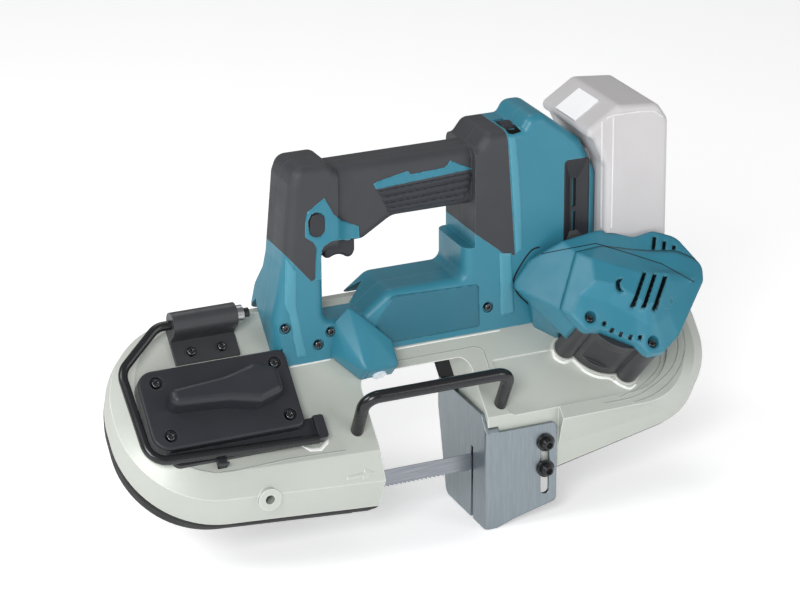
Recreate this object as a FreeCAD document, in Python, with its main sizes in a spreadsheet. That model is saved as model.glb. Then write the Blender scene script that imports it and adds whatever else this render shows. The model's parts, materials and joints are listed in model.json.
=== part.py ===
import FreeCAD, Part
import Sketcher
import math
import os
from types import SimpleNamespace

# Portable band saw. Lengths are in millimetres and angles in degrees.
# Places are measured from the middle of the band where it enters the throat on the left:
# side runs right along the band, back runs away from the user's front, up is the handle's way.
# The deck is tilted about the band: on it, places are side, rise (up the deck) and lift (off the deck).

SIZES = {
    # Attitude of the deck and the handle, and the place of the part's own origin
    "deck_tilt": 45,
    "grip_tilt": 90,
    "middle_back": 24.042,
    "overrun": 2,
    "reach": 400,
    "seat_gap": 0.3,
    "run_gap": 0.05,

    # Saw band and its wheels
    "band_width": 13,
    "band_thick": 0.5,
    "band_loop": 898.5,
    "tooth_pitch": 3.2,
    "tooth_depth": 1.2,
    "twist_run": 34,
    "wheel_radius": 60,
    "wheel_top": 8.8,
    "wheel_flange_thick": 2,
    "wheel_flange_over": 1.5,
    "wheel_low": 4.5,
    "wheel_rim_thick": 7,
    "tyre_thick": 2.5,
    "hub_radius": 17,
    "hub_low": 6,
    "web_low": 1,
    "web_thick": 4,
    "wheel_hole_radius": 9,
    "wheel_hole_ring": 34,
    "drive_side": 172,

    # Throat of the frame
    "throat_left": 16,
    "throat_right": 67.5,
    "throat_ceiling": 74.8,
    "throat_round": 8,
    "band_slot": 4,
    "band_slot_top": 10,

    # Frame casting, in four levels from foot to top
    "foot_lift": 10, "foot_left": 189, "foot_right": 253, "foot_back": 131,
    "foot_nose": 9, "foot_lip": 24, "foot_chin": 18.5, "foot_brow": 6, "foot_knee": 121,
    "foot_nose_round": 70, "foot_stern_round": 66, "foot_brow_round": 52, "foot_tail_round": 58,
    "waist_lift": 22, "waist_left": 191, "waist_right": 257, "waist_back": 130,
    "waist_nose": 6, "waist_lip": 20, "waist_chin": 6.5, "waist_brow": 9, "waist_knee": 127,
    "waist_nose_round": 70, "waist_stern_round": 65, "waist_brow_round": 56, "waist_tail_round": 60,
    "shoulder_lift": 36.5, "shoulder_left": 190, "shoulder_right": 243, "shoulder_back": 127,
    "shoulder_nose": 1, "shoulder_lip": 15.3, "shoulder_chin": -0.7, "shoulder_brow": 7,
    "shoulder_knee": 120,
    "shoulder_nose_round": 66, "shoulder_stern_round": 60, "shoulder_brow_round": 48,
    "shoulder_tail_round": 52,
    "top_lift": 43.5, "top_left": 173, "top_right": 231, "top_back": 121,
    "top_nose": -13, "top_lip": -6, "top_chin": -4.1, "top_brow": 4.5, "top_knee": 119,
    "top_nose_round": 50, "top_stern_round": 48, "top_brow_round": 44, "top_tail_round": 44,
    "lip_side": 14,
    "knee_round": 6,
    "deck_wall": 6.5,
    "hollow_left": 176, "hollow_right": 224, "hollow_back": 113, "hollow_nose": 14, "hollow_lip": 2,
    "hollow_knee": 121, "hollow_chin": 13, "hollow_brow": 16, "hollow_round": 38,
    "panel_left": 84, "panel_right": 219, "panel_front": 14, "panel_back": 56,
    "panel_round": 40, "panel_small_round": 5, "panel_back_round": 1.5, "panel_depth": 1.2,
    "stop_wall_front": 20.2,
    "stop_wall_right": 122,

    # Threaded boss on the frame's front rim
    "boss_side": 99.4, "boss_up": 17.7, "boss_front": 33, "boss_length": 15,
    "boss_radius": 8, "boss_bore": 3.4, "boss_bore_depth": 12,

    # Guard under the wheels
    "belt_lift": 3, "belt_inset": 1, "floor_drop": 17, "floor_inset": 6, "floor_back_inset": 3,
    "cover_wall": 3,
    "cover_screw_shank": 2, "cover_screw_head": 4, "cover_screw_thick": 2.4, "cover_screw_length": 12,
    "cover_post_radius": 5,

    # Band guides beside the throat
    "guide_left": 27, "guide_right": 82, "guide_length": 14, "guide_depth": 24.4, "guide_low": 8,
    "guide_bridge": 8, "guide_pad": 28, "guide_pad_back": 3, "guide_top": 17, "roller_radius": 6,
    "roller_height": 11, "roller_gap": 0.3,
    "pin_radius": 2.5, "guide_room": 2,

    # Spindle of the drive wheel
    "spindle_radius": 6, "spindle_low": 8, "spindle_top": 57,
    "bearing_outer": 13, "bearing_low": 18, "bearing_high": 30, "spindle_boss": 19,
    "spindle_boss_low": 15,
    "spindle_way": 8,

    # Idler wheel, its axle and the tension slide
    "idler_bearing_outer": 11, "axle_radius": 6, "axle_flange": 11, "axle_flange_thick": 4,
    "clip_radius": 8.5, "clip_thick": 1.2,
    "slide_thick": 8, "slide_half": 19, "slide_left": 140, "slide_right": 64,
    "rail_wide": 8, "rail_lip": 4, "rail_lip_thick": 3,
    "cam_radius": 7, "cam_throw": 3.464, "cam_slack": 0.8, "cam_start_angle": 60,
    "spring_radius": 4, "spring_wire": 0.7, "spring_turns": 3,

    # Tension cover and its lever
    "plate_left": 173.5, "plate_right": 66.3, "plate_front": 30, "plate_back": 87.5, "plate_high": 12.5,
    "plate_round": 12, "plate_small_round": 6, "plate_edge": 2,
    "plate_screw_in": 13, "plate_screw_back_in": 9.5, "plate_screw_head": 4.4, "plate_screw_thick": 3,
    "plate_screw_shank": 2.2, "plate_screw_length": 12,
    "shelf_front": 20, "shelf_high": 4.5, "ear_right": 52, "ear_high": 9, "ear_wide": 7,
    "lever_side": 97, "lever_rise": 61, "lever_shaft": 6, "lever_nose_side": 158, "lever_hub_right": 80,
    "lever_hub_half": 14, "lever_waist_side": 118, "lever_waist_half": 9, "lever_nose_half": 6,
    "lever_high": 17, "lever_round": 5, "lever_corner": 5,

    # Gears and motor, stacked over the drive wheel
    "gear_module": 1, "gear_teeth": 50, "small_teeth": 10, "gear_wide": 8, "gear_low": 47,
    "middle_way_angle": 27, "middle_module": 0.8, "middle_teeth": 44, "pinion_teeth": 7, "middle_wide": 6,
    "motor_way_angle": 200, "middle_bore": 2.4,
    "gear_wall": 3, "gear_room": 2, "housing_roof": 4,
    "rotor_radius": 9, "rotor_low": 78, "rotor_high": 94, "stator_outer": 18.5, "stator_inner": 9.6,
    "rotor_shaft": 3, "motor_bearing_outer": 8, "motor_bearing_thick": 5,
    "fan_radius": 16, "fan_thick": 5, "fan_gap": 1.5,
    "pad_high": 2.5, "pad_rim": 1.5, "roof_high": 70, "window_angle": 232, "window_half": 11,
    "window_low": 54,
    "window_high": 82, "window_deep": 2,

    # Motor cover in two shells over the gear housing, measured from the drive wheel's axis
    "cover_boss": 8, "boss_one_side": -32.5, "boss_one_rise": -5.5, "boss_two_side": 7,
    "boss_two_rise": -31.5,
    "cover_low": 70, "cover_shoulder": 98, "cover_seam": 104, "cover_top": 112, "cover_seat": 95,
    "split_lift": 90, "split_angle": 17.7, "front_side": -41, "front_rise": 2,
    "slope_side": -64, "slope_rise": 46, "slope_lift": 71.3, "slope_angle": 42.5, "slope_lean_angle": 8.5,
    "slot_side": 12.7, "slot_rise": 16.1, "slot_step": 6.9, "slot_drop": 2.9, "slot_angle": 233.5,
    "slot_long": 28,
    "slot_wide": 3, "slot_floor": 105, "moon_radius": 5, "moon_shift": 3.5, "moon_one_side": -7.3,
    "moon_one_rise": 9.4, "moon_two_side": 24.9, "moon_two_rise": -9.1,
    "rear_slot_side": 36, "rear_slot_rise": 45.6, "rear_slot_step": 6, "rear_slot_drop": 4.5,
    "rear_slot_angle": 241, "rear_slot_long": 13, "rear_slot_floor": 95,
    "pore_ring": 25, "pore_long": 3, "pore_wide": 2.6, "pore_angle": 206, "pore_step_angle": 15.2,
    "pore_floor": 96,

    # Handle and body housing: its front and back faces, and its outline seen from the front
    "shell_front": 24.5, "shell_back": 74, "shell_middle": 46, "shell_soft": 7,
    "post_back": 66, "back_step_low": 122, "back_step_high": 150, "ring_side": 66,
    "hand_front": 31, "hand_back": 61, "hand_soft": 8.5, "hand_left": 24, "hand_right": 78,
    "hand_low": 150,
    "opening_low_floor": 113,
    "holder_side": 172,

    # Switch, buttons and inner pieces of the housing
    "trigger_left": 30, "trigger_right": 6, "trigger_high": 171, "trigger_half": 8,
    "switch_left": 30, "switch_right": 12, "switch_low": 187, "switch_high": 206, "switch_half": 9,
    "lock_side": 39.5, "lock_up": 185.5, "lock_half": 5.5, "lock_half_tall": 8.5, "lock_proud": 1.2,
    "lock_travel": 4,
    "dial_side": 104, "dial_wide": 8, "dial_up": 222, "dial_radius": 11, "dial_axle": 2.5,
    "dial_back": 42,
    "control_left": 20, "control_right": 84, "control_front": 29, "control_back": 41, "control_low": 107,
    "control_high": 123,
    "vent_left": 146, "vent_right": 166, "vent_low": 140, "vent_high": 204, "vent_deep": 6,
    "vent_round": 3,
    "vent_edge": 1.5, "vent_throat": 3, "vent_throat_low": 9, "vent_throat_high": 16, "vent_rib": 3,
    "vent_rib_up": 164,
    "lamp_left": 15, "lamp_right": 8, "lamp_front": 58, "lamp_back": 80, "lamp_high": 17, "lamp_round": 4,
    "lens_radius": 5, "lens_thick": 3, "lens_lift": 8,
    "housing_screw_shank": 2, "housing_screw_head": 4, "housing_screw_thick": 3,
    "housing_screw_length": 8,
    "housing_screw_sink": 2,

    # Battery pack on its upright rails
    "pack_middle": 49.25, "pack_half": 37.5, "pack_low": 124, "pack_soft": 4,
    "button_side": -4.5, "button_up": 234.25, "button_slope_angle": 33, "button_long": 11,
    "button_half": 15,
    "button_deep": 7, "button_travel": 3, "button_proud": 1,
    "rail_deep": 10, "rail_half": 16, "rail_high": 206, "rail_slot_half": 12,
    "terminal_half": 9, "terminal_high": 26, "terminal_thick": 6,

    # Stopper plate with its bolts
    "stop_thick": 2.5, "stop_gap": 0.3, "stop_drop": 43.6, "stop_top": 42.5, "stop_front_top": 30,
    "stop_right": 119.5, "stop_bend": 3,
    "stop_slot_side": 110.5, "stop_slot_wide": 6.6, "stop_slot_low": 24, "stop_slot_high": 20.5,
    "stop_slit": 4, "stop_slit_top": 12,
    "bolt_up": 16, "bolt_pitch": 20, "bolt_shank": 3, "bolt_head": 4.6, "bolt_thick": 5,
    "bolt_length": 18,
    "bolt_socket": 2.3, "bolt_socket_deep": 2.6, "washer_radius": 6.4, "washer_thick": 1.6,

    # Front bar over the throat
    "bar_radius": 4.5, "bar_left": 28, "bar_right": 80, "bar_rise": 24, "bar_lean": 10, "bar_lift": 31.5,
    "bar_bend": 10, "bar_sink": 5,

    # Hanging hook with its holder
    "hook_radius": 3.3, "hook_rise": 117, "hook_lift": 57, "hook_lean_angle": 3, "hook_end": 84,
    "hook_shoulder": 150, "hook_elbow_side": 182, "hook_elbow": 27, "hook_knee_side": 178,
    "hook_knee": 92,
    "hook_tip_side": 60, "hook_tip": 97, "hook_bend": 14, "holder_tube": 8.5, "holder_left": 140,
    "holder_right": 94, "holder_front": 92, "holder_thick": 3, "holder_screw_in": 12,
    "holder_screw_rise": 99, "holder_screw_head": 4.6, "holder_screw_thick": 3.2,
    "holder_screw_shank": 2.4,
    "holder_screw_length": 9, "hook_nut_radius": 6, "hook_nut_thick": 5,
    "half_turn": 180, "gear_gap": 0.5,
    "trigger_flange": 1.5, "trigger_flange_thick": 3, "trigger_edge": 3, "lock_edge": 1,
    "dial_axle_long": 3, "dial_notch": 0.9, "vent_sink": 1,
    "post_a_side": 64, "post_a_up": 114, "post_b_side": 40, "post_b_up": 98, "post_c_side": 30.5,
    "post_c_up": 106, "post_d_side": 88, "post_d_up": 104,
}

# Outlines with many corners: each corner as side, rise or up, and its rounding
OUTLINES = {
    "cover_wall": [(-38, -13, 6), (-25, -15, 4), (-4, -29, 4), (2, -39, 6), (14, -39, 7), (29, -29, 8),
                   (61, 7, 10),
                   (64, 18, 10), (52, 43, 14), (36, 50.5, 8), (20, 48, 10), (-3, 58, 12), (-53, 51.5, 8),
                   (-68, 38, 5)],
    "cover_seam": [(-32, 8, 4), (-18, 1, 4), (-1, -13, 4), (6.5, -21, 4), (12, -21, 4), (24, -14, 6),
                   (44, 4, 6),
                   (51, 9, 3), (41, 15.5, 4), (33, 19, 4), (14, 33, 8), (-7.5, 44, 12), (-39, 41.3, 6),
                   (-62, 34, 4)],
    "cover_crown": [(-21, 14, 4), (-12, 10.5, 4), (0, -1, 4), (4, -8, 4), (10, -8, 4), (18, -3, 4),
                    (29, 7, 2),
                    (30, 12, 2), (24, 13.5, 3), (17, 14, 3), (9, 16, 5), (-22, 32.3, 8), (-46, 30.5, 5),
                    (-62, 27, 4)],
    "foot_base": [(-49.5, 15, 2), (-34, 2.5, 2), (-30, 6, 2), (-30, 30, 2), (-49.5, 30, 2)],
    "foot_top": [(-59, 23, 2), (-44, -2.5, 2), (-36, 4, 2), (-36, 35, 2), (-59, 35, 2)],
    "guard_posts": [(-155, 45, 0), (-140, 112, 0), (-25, 105, 0), (84.5, 60, 0), (236, 87, 0),
                    (239, 50, 0)],
    "whole": [(-72, 70, 0), (130, 70, 0), (130, 122, 4), (172, 122, 8), (172, 192, 8), (160, 217, 10),
              (131, 239.5, 9), (119, 239.5, 8), (114, 231, 4), (88, 231, 8), (80.5, 221.5, 4),
              (-24, 221.5, 4),
              (-29, 227, 8), (-54, 227, 9), (-58, 216, 8), (-63.5, 158, 20), (-72, 118, 10)],
    "opening": [(-34.5, 113, 8), (-6, 113, 6), (14, 128, 12), (70, 128, 6), (70, 179, 8), (20, 179, 14),
                (-2, 165.5, 9), (-34.5, 165.5, 6)],
    "grip": [(-90, 200, 0), (-44, 145, 0), (-34.5, 153, 0), (-20, 160, 0), (40, 160, 0),
             (70, 167, 0), (99.6, 142.5, 0), (108.5, 139.5, 0), (102, 231, 0), (102, 262, 0),
             (-90, 262, 0)],
    "hand": [(-40, 165.5, 0), (-2, 165.5, 9), (20, 179, 14), (84, 179, 0), (84, 221.5, 0),
             (-40, 221.5, 0)],
    "pack": [(0, 124, 7), (49, 124, 9), (48, 228, 9), (40, 240, 7), (9, 243, 7), (-18, 225.5, 4.5),
             (-9.5, 219.5, 4), (0, 199, 8)],
    "stop_front": [(73.6, -43.6, 0), (87.5, -38.6, 0), (119.5, -30.6, 4), (119.5, 30, 4), (75, 30, 0)],
    "stop_side": [(44, -43.6, 6), (58, 20, 8), (58, 42.5, 4), (-14, 42.5, 2)],
    "trigger": [(-28, 152.5, 4), (-18, 156.5, 9), (-9, 150.5, 4), (-6, 157, 5), (-6, 171, 0),
                (-30, 171, 0),
                (-30, 158, 4)],
}
for name, corners in OUTLINES.items():
    for count, corner in enumerate(corners, start=1):
        for part, value in zip(("side", "rise", "round"), corner):
            SIZES[f"{name}_{part}_{count}"] = value


class Size:
    """A value of the sheet, or a sum of such values, with the expression that gives it."""

    def __init__(self, value, text):
        self.value = value
        self.text = text

    def __add__(self, other):
        return Size(self.value + number(other), f"({self.text} + {words(other)})")

    def __radd__(self, other):
        return Size(number(other) + self.value, f"({words(other)} + {self.text})")

    def __sub__(self, other):
        return Size(self.value - number(other), f"({self.text} - {words(other)})")

    def __rsub__(self, other):
        return Size(number(other) - self.value, f"({words(other)} - {self.text})")

    def __mul__(self, other):
        return Size(self.value * number(other), f"({self.text} * {words(other)})")

    __rmul__ = __mul__

    def __truediv__(self, other):
        return Size(self.value / number(other), f"({self.text} / {words(other)})")

    def __neg__(self):
        return Size(-self.value, f"(0 - {self.text})")


def number(length):
    return length.value if isinstance(length, Size) else float(length)


def words(length):
    return length.text if isinstance(length, Size) else repr(float(length))


doc = FreeCAD.newDocument("band_saw")
sheet = doc.addObject("Spreadsheet::Sheet", "Sizes")
s = SimpleNamespace()
for row, (alias, value) in enumerate(SIZES.items(), start=1):
    sheet.set(f"A{row}", alias)
    sheet.set(f"B{row}", str(value))
    sheet.setAlias(f"B{row}", alias)
    setattr(s, alias, Size(value, f"Sizes.{alias}"))
doc.recompute()


def drawn(name):
    """The corners of a named outline."""
    count = len(OUTLINES[name])
    return [tuple(getattr(s, f"{name}_{part}_{index}") for part in ("side", "rise", "round"))
            for index in range(1, count + 1)]


# Frames: the band's own, the tilted deck's, and the handle's, with outlines drawn from the front
TURNS = {
    "z": FreeCAD.Rotation(),
    "x": FreeCAD.Rotation(FreeCAD.Vector(0, 1, 0), 90),
    "y": FreeCAD.Rotation(FreeCAD.Vector(1, 0, 0), -90),
}
SIDE = FreeCAD.Vector(1, 0, 0)
RISE = FreeCAD.Vector(0, 1, 0)
LIFT = FreeCAD.Vector(0, 0, 1)
TRIPLE_TURN = 120


def place(x, y, z, turn=FreeCAD.Rotation()):
    return FreeCAD.Placement(FreeCAD.Vector(number(x), number(y), number(z)), turn)


BAND = place((s.waist_left - s.waist_right) / 2, -s.middle_back, s.stop_drop)
DECK = BAND.multiply(place(0, 0, 0, FreeCAD.Rotation(SIDE, number(s.deck_tilt))))
PROFILE = BAND.multiply(place(0, 0, 0, FreeCAD.Rotation(FreeCAD.Vector(1, 1, 1), TRIPLE_TURN)))
FRONT = BAND.multiply(place(0, 0, 0, FreeCAD.Rotation(SIDE, number(s.grip_tilt))))
MOTOR = DECK.multiply(place(s.drive_side, s.wheel_radius, 0))


def bind(item, name, length):
    """Set a size of an item, tied to the sheet."""
    setattr(item, name, number(length))
    if isinstance(length, Size):
        item.setExpression(name, length.text)


def box(frame, x, y, z, length, width, height):
    item = doc.addObject("Part::Box", "box")
    bind(item, "Length", length)
    bind(item, "Width", width)
    bind(item, "Height", height)
    item.Placement = frame.multiply(place(x, y, z))
    return item


def rod(frame, x, y, z, radius, height, axis="z"):
    item = doc.addObject("Part::Cylinder", "rod")
    bind(item, "Radius", radius)
    bind(item, "Height", height)
    item.Placement = frame.multiply(place(x, y, z, TURNS[axis]))
    return item


def plane_of(body, role):
    return [item for item in body.Origin.OriginFeatures if item.Role == role][0]


def corner_arc(before, corner, after, radius):
    """The points where a rounded corner leaves its two sides, and its middle."""
    back = (before - corner).normalize()
    ahead = (after - corner).normalize()
    half = back.getAngle(ahead) / 2
    run = radius / math.tan(half)
    middle = corner + (back + ahead).normalize() * (radius / math.sin(half))
    return corner + back * run, corner + ahead * run, middle


def drawing(body, height=0, role="XY_Plane"):
    """An empty sketch on one of a body's own planes."""
    sketch = body.newObject("Sketcher::SketchObject", "outline")
    sketch.AttachmentSupport = [(plane_of(body, role), "")]
    sketch.MapMode = "FlatFace"
    sketch.AttachmentOffset = place(0, 0, height)
    if isinstance(height, Size):
        sketch.setExpression("AttachmentOffset.Base.z", height.text)
    return sketch


def outline(sketch, corners, closed=True):
    """A fully constrained loop: straight sides, each corner given as x, y and, if rounded, its radius."""
    base = sketch.GeometryCount
    held = sketch.ConstraintCount
    count = len(corners)
    points = [FreeCAD.Vector(number(corner[0]), number(corner[1]), 0) for corner in corners]
    radii = [corner[2] if len(corner) > 2 else 0 for corner in corners]
    if not closed:
        radii[0] = 0
        radii[-1] = 0
    leave = []
    for index in range(count):
        if number(radii[index]) > 0:
            leave.append(corner_arc(points[index - 1], points[index], points[(index + 1) % count],
                                    number(radii[index])))
        else:
            leave.append((points[index], points[index], None))
    sides = count if closed else count - 1
    for index in range(sides):
        sketch.addGeometry(Part.LineSegment(leave[index][1], leave[(index + 1) % count][0]), False)
    rules = []
    ties = []
    for index in range(count):
        before = (index - 1) % count
        if leave[index][2] is None:
            inner = closed or 0 < index < count - 1
            if inner:
                rules.append(Sketcher.Constraint("Coincident", base + before, 2, base + index, 1))
            mark = (base + index, 1) if index < sides else (base + before, 2)
        else:
            start, end, middle = leave[index]
            turn = (points[index] - points[before]).cross(points[(index + 1) % count] - points[index]).z
            first, last = (start, end) if turn > 0 else (end, start)
            circle = Part.Circle(middle, FreeCAD.Vector(0, 0, 1), number(radii[index]))
            angles = [math.atan2(point.y - middle.y, point.x - middle.x) for point in (first, last)]
            arc = sketch.addGeometry(Part.ArcOfCircle(circle, *angles), False)
            near, far = (1, 2) if turn > 0 else (2, 1)
            rules.append(Sketcher.Constraint("Tangent", base + before, 2, arc, near))
            rules.append(Sketcher.Constraint("Tangent", arc, far, base + index, 1))
            ties.append((len(rules), radii[index]))
            rules.append(Sketcher.Constraint("Radius", arc, number(radii[index])))
            mark = (sketch.addGeometry(Part.Point(points[index]), True), 1)
            rules.append(Sketcher.Constraint("PointOnObject", mark[0], 1, base + before))
            rules.append(Sketcher.Constraint("PointOnObject", mark[0], 1, base + index))
        for way, along in (("DistanceX", 0), ("DistanceY", 1)):
            ties.append((len(rules), corners[index][along]))
            rules.append(Sketcher.Constraint(way, -1, 1, *mark, number(corners[index][along])))
    sketch.addConstraint(rules)
    for rule, length in ties:
        if isinstance(length, Size):
            sketch.setExpression(f"Constraints[{held + rule}]", length.text)
    return sketch


def slab(frame, corners, bottom, height, hole=None):
    """A plate of the given outline, standing off the frame's drawing plane."""
    body = doc.addObject("PartDesign::Body", "slab")
    sketch = outline(drawing(body, bottom), corners)
    if hole:
        outline(sketch, hole)
    pad = body.newObject("PartDesign::Pad", "pad")
    pad.Profile = sketch
    bind(pad, "Length", height)
    body.Placement = frame
    return body


def lofted(frame, levels):
    """A solid with flat flanks through outlines at several heights."""
    body = doc.addObject("PartDesign::Body", "lofted")
    sketches = [outline(drawing(body, height), corners) for height, corners in levels]
    loft = body.newObject("PartDesign::AdditiveLoft", "loft")
    loft.Profile = sketches[0]
    loft.Sections = sketches[1:]
    loft.Ruled = True
    body.Placement = frame
    return body


def turned(frame, profile, x, y, z, axis="z"):
    """A turned piece: its profile is given as radius and height."""
    body = doc.addObject("PartDesign::Body", "turned")
    sketch = outline(drawing(body, role="XZ_Plane"), profile)
    spin = body.newObject("PartDesign::Revolution", "spin")
    spin.Profile = sketch
    spin.ReferenceAxis = (sketch, ["V_Axis"])
    body.Placement = frame.multiply(place(x, y, z, TURNS[axis]))
    return body


def ring(frame, x, y, z, outer, inner, height, axis="z"):
    return turned(frame, [(inner, 0), (outer, 0), (outer, height), (inner, height)], x, y, z, axis)


def bent_rod(frame, corners, radius):
    """A round rod bent along a flat path, its bends as corner radii."""
    body = doc.addObject("PartDesign::Body", "bent")
    path = outline(drawing(body), corners, closed=False)
    end = body.newObject("Sketcher::SketchObject", "end")
    end.AttachmentSupport = [(plane_of(body, "YZ_Plane"), "")]
    end.MapMode = "FlatFace"
    end.AttachmentOffset = place(0, 0, corners[0][0])
    end.setExpression("AttachmentOffset.Base.z", words(corners[0][0]))
    end.addGeometry(Part.Circle(FreeCAD.Vector(number(corners[0][1]), 0, 0), FreeCAD.Vector(0, 0, 1),
                                number(radius)), False)
    end.addConstraint([
        Sketcher.Constraint("Radius", 0, number(radius)),
        Sketcher.Constraint("DistanceX", -1, 1, 0, 3, number(corners[0][1])),
        Sketcher.Constraint("DistanceY", -1, 1, 0, 3, 0),
    ])
    end.setExpression("Constraints[0]", words(radius))
    pipe = body.newObject("PartDesign::AdditivePipe", "pipe")
    pipe.Profile = end
    pipe.Spine = path
    body.Placement = frame
    return body


def fuse(*items):
    item = doc.addObject("Part::MultiFuse", "fuse")
    item.Shapes = list(items)
    return item


def cut(base, *tools):
    item = doc.addObject("Part::Cut", "cut")
    item.Base = base
    item.Tool = tools[0] if len(tools) == 1 else fuse(*tools)
    return item


def common(*items):
    item = doc.addObject("Part::MultiCommon", "common")
    item.Shapes = list(items)
    return item


def group(*items):
    item = doc.addObject("Part::Compound", "group")
    item.Links = list(items)
    return item


def soften(body, radius, chosen):
    """Round the edges of a body's last feature that the chooser picks, in the body's own frame."""
    doc.recompute()
    tip = body.Tip
    names = [f"Edge{index}" for index, edge in enumerate(tip.Shape.Edges, start=1) if chosen(edge)]
    fillet = body.newObject("PartDesign::Fillet", "fillet")
    fillet.Base = (tip, names)
    bind(fillet, "Radius", radius)
    return body


def at_height(height):
    """A chooser of the edges that lie flat at a height."""
    level = number(height)
    close = number(s.run_gap)
    return lambda edge: all(abs(vertex.Z - level) < close for vertex in edge.Vertexes)


nodes = []
casting_screws = []
plastic_screws = []


def node(name, item):
    item.Label = name
    nodes.append(item)
    return item


def screw(frame, x, y, z, shank, length, head, thick, axis="z", flip=False):
    """A screw whose head rests at the given place, pointing against the axis unless flipped."""
    sign = -1 if flip else 1
    dome = head * DOME_SHARE
    profile = [(0, -length * sign), (shank, -length * sign), (shank, 0), (head, 0),
               (head, thick * EDGE_SHARE * sign), (dome, thick * sign), (0, thick * sign)]
    if flip:
        profile.reverse()
    return turned(frame, profile, x, y, z, axis)


DOME_SHARE = 0.7
EDGE_SHARE = 0.55


# Frame casting
def deck_level(name):
    """The casting's outline at one of its levels."""
    value = {key[len(name) + 1:]: getattr(s, key) for key in SIZES if key.startswith(name + "_")}
    return value["lift"], [
        (-value["left"], -value["nose"], value["nose_round"]),
        (s.lip_side, -value["lip"], s.knee_round),
        (value["knee"], -value["chin"], s.knee_round),
        (value["right"], value["brow"], value["brow_round"]),
        (value["right"], value["back"], value["tail_round"]),
        (-value["left"], value["back"], value["stern_round"]),
    ]


idler_side = s.drive_side - (s.band_loop / 2 - s.wheel_radius * math.pi)
hollow_top = s.top_lift - s.deck_wall
panel_lift = s.top_lift - s.panel_depth


def throat_block(wall, corner):
    """The space of the throat, with a wall's thickness added round it."""
    return slab(FRONT, [
        (-s.throat_left - wall, -s.reach), (s.throat_right + wall, -s.reach),
        (s.throat_right + wall, s.throat_ceiling + wall, corner),
        (-s.throat_left - wall, s.throat_ceiling + wall, corner),
    ], -s.reach, s.reach * 2)


def guide_space(side):
    """Room in the frame and the guard for a band guide, open towards the throat by its wall's slot."""
    half = s.guide_depth / 2 + s.guide_room
    low = s.guide_low + s.guide_room
    return box(BAND, side - s.guide_length / 2 - s.guide_room, -half, -low,
               s.guide_length + s.guide_room * 2, half * 2, low + s.guide_top)


def band_way():
    """The slot for the band through both throat walls, open towards the teeth."""
    return box(BAND, -s.guide_left, -s.band_slot / 2, -s.reach,
               s.guide_left + s.guide_right, s.band_slot, s.reach + s.band_slot_top)


def cover_posts():
    """Places of the guard's screws: side and rise."""
    return [corner[:2] for corner in drawn("guard_posts")]


# Layout of the gears between the motor and the drive wheel
middle_way = number(s.middle_way_angle)
motor_way = number(s.motor_way_angle)
middle_run = s.gear_module * (s.gear_teeth + s.small_teeth) / 2
motor_run = s.middle_module * (s.middle_teeth + s.pinion_teeth) / 2
middle_side = s.drive_side + middle_run * math.cos(math.radians(middle_way))
middle_rise = s.wheel_radius + middle_run * math.sin(math.radians(middle_way))
motor_side = middle_side + motor_run * math.cos(math.radians(motor_way))
motor_rise = middle_rise + motor_run * math.sin(math.radians(motor_way))
small_wide = s.gear_wide + s.gear_room
middle_low = s.gear_low + small_wide + s.gear_gap
roof_low = s.roof_high - s.housing_roof
gear_floor = s.top_lift + s.pad_high
drive_room = s.gear_module * (s.gear_teeth / 2 + 1) + s.gear_room
middle_room = s.middle_module * (s.middle_teeth / 2 + 1) + s.gear_room


def cover_screws():
    """Places of the motor cover's screws, from the drive wheel's axis."""
    return [(s.boss_one_side, s.boss_one_rise), (s.boss_two_side, s.boss_two_rise)]


def gear_rims(low, high, rim):
    """The rounds that make up the gear housing's plan, with a rim's width added."""
    height = high - low
    rounds = [
        rod(MOTOR, 0, 0, low, drive_room + s.gear_wall + rim, height),
        rod(DECK, middle_side, middle_rise, low, middle_room + s.gear_wall + rim, height),
    ]
    for side, rise in cover_screws():
        rounds.append(rod(MOTOR, side, rise, low, s.cover_boss + rim, height))
    return rounds


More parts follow.
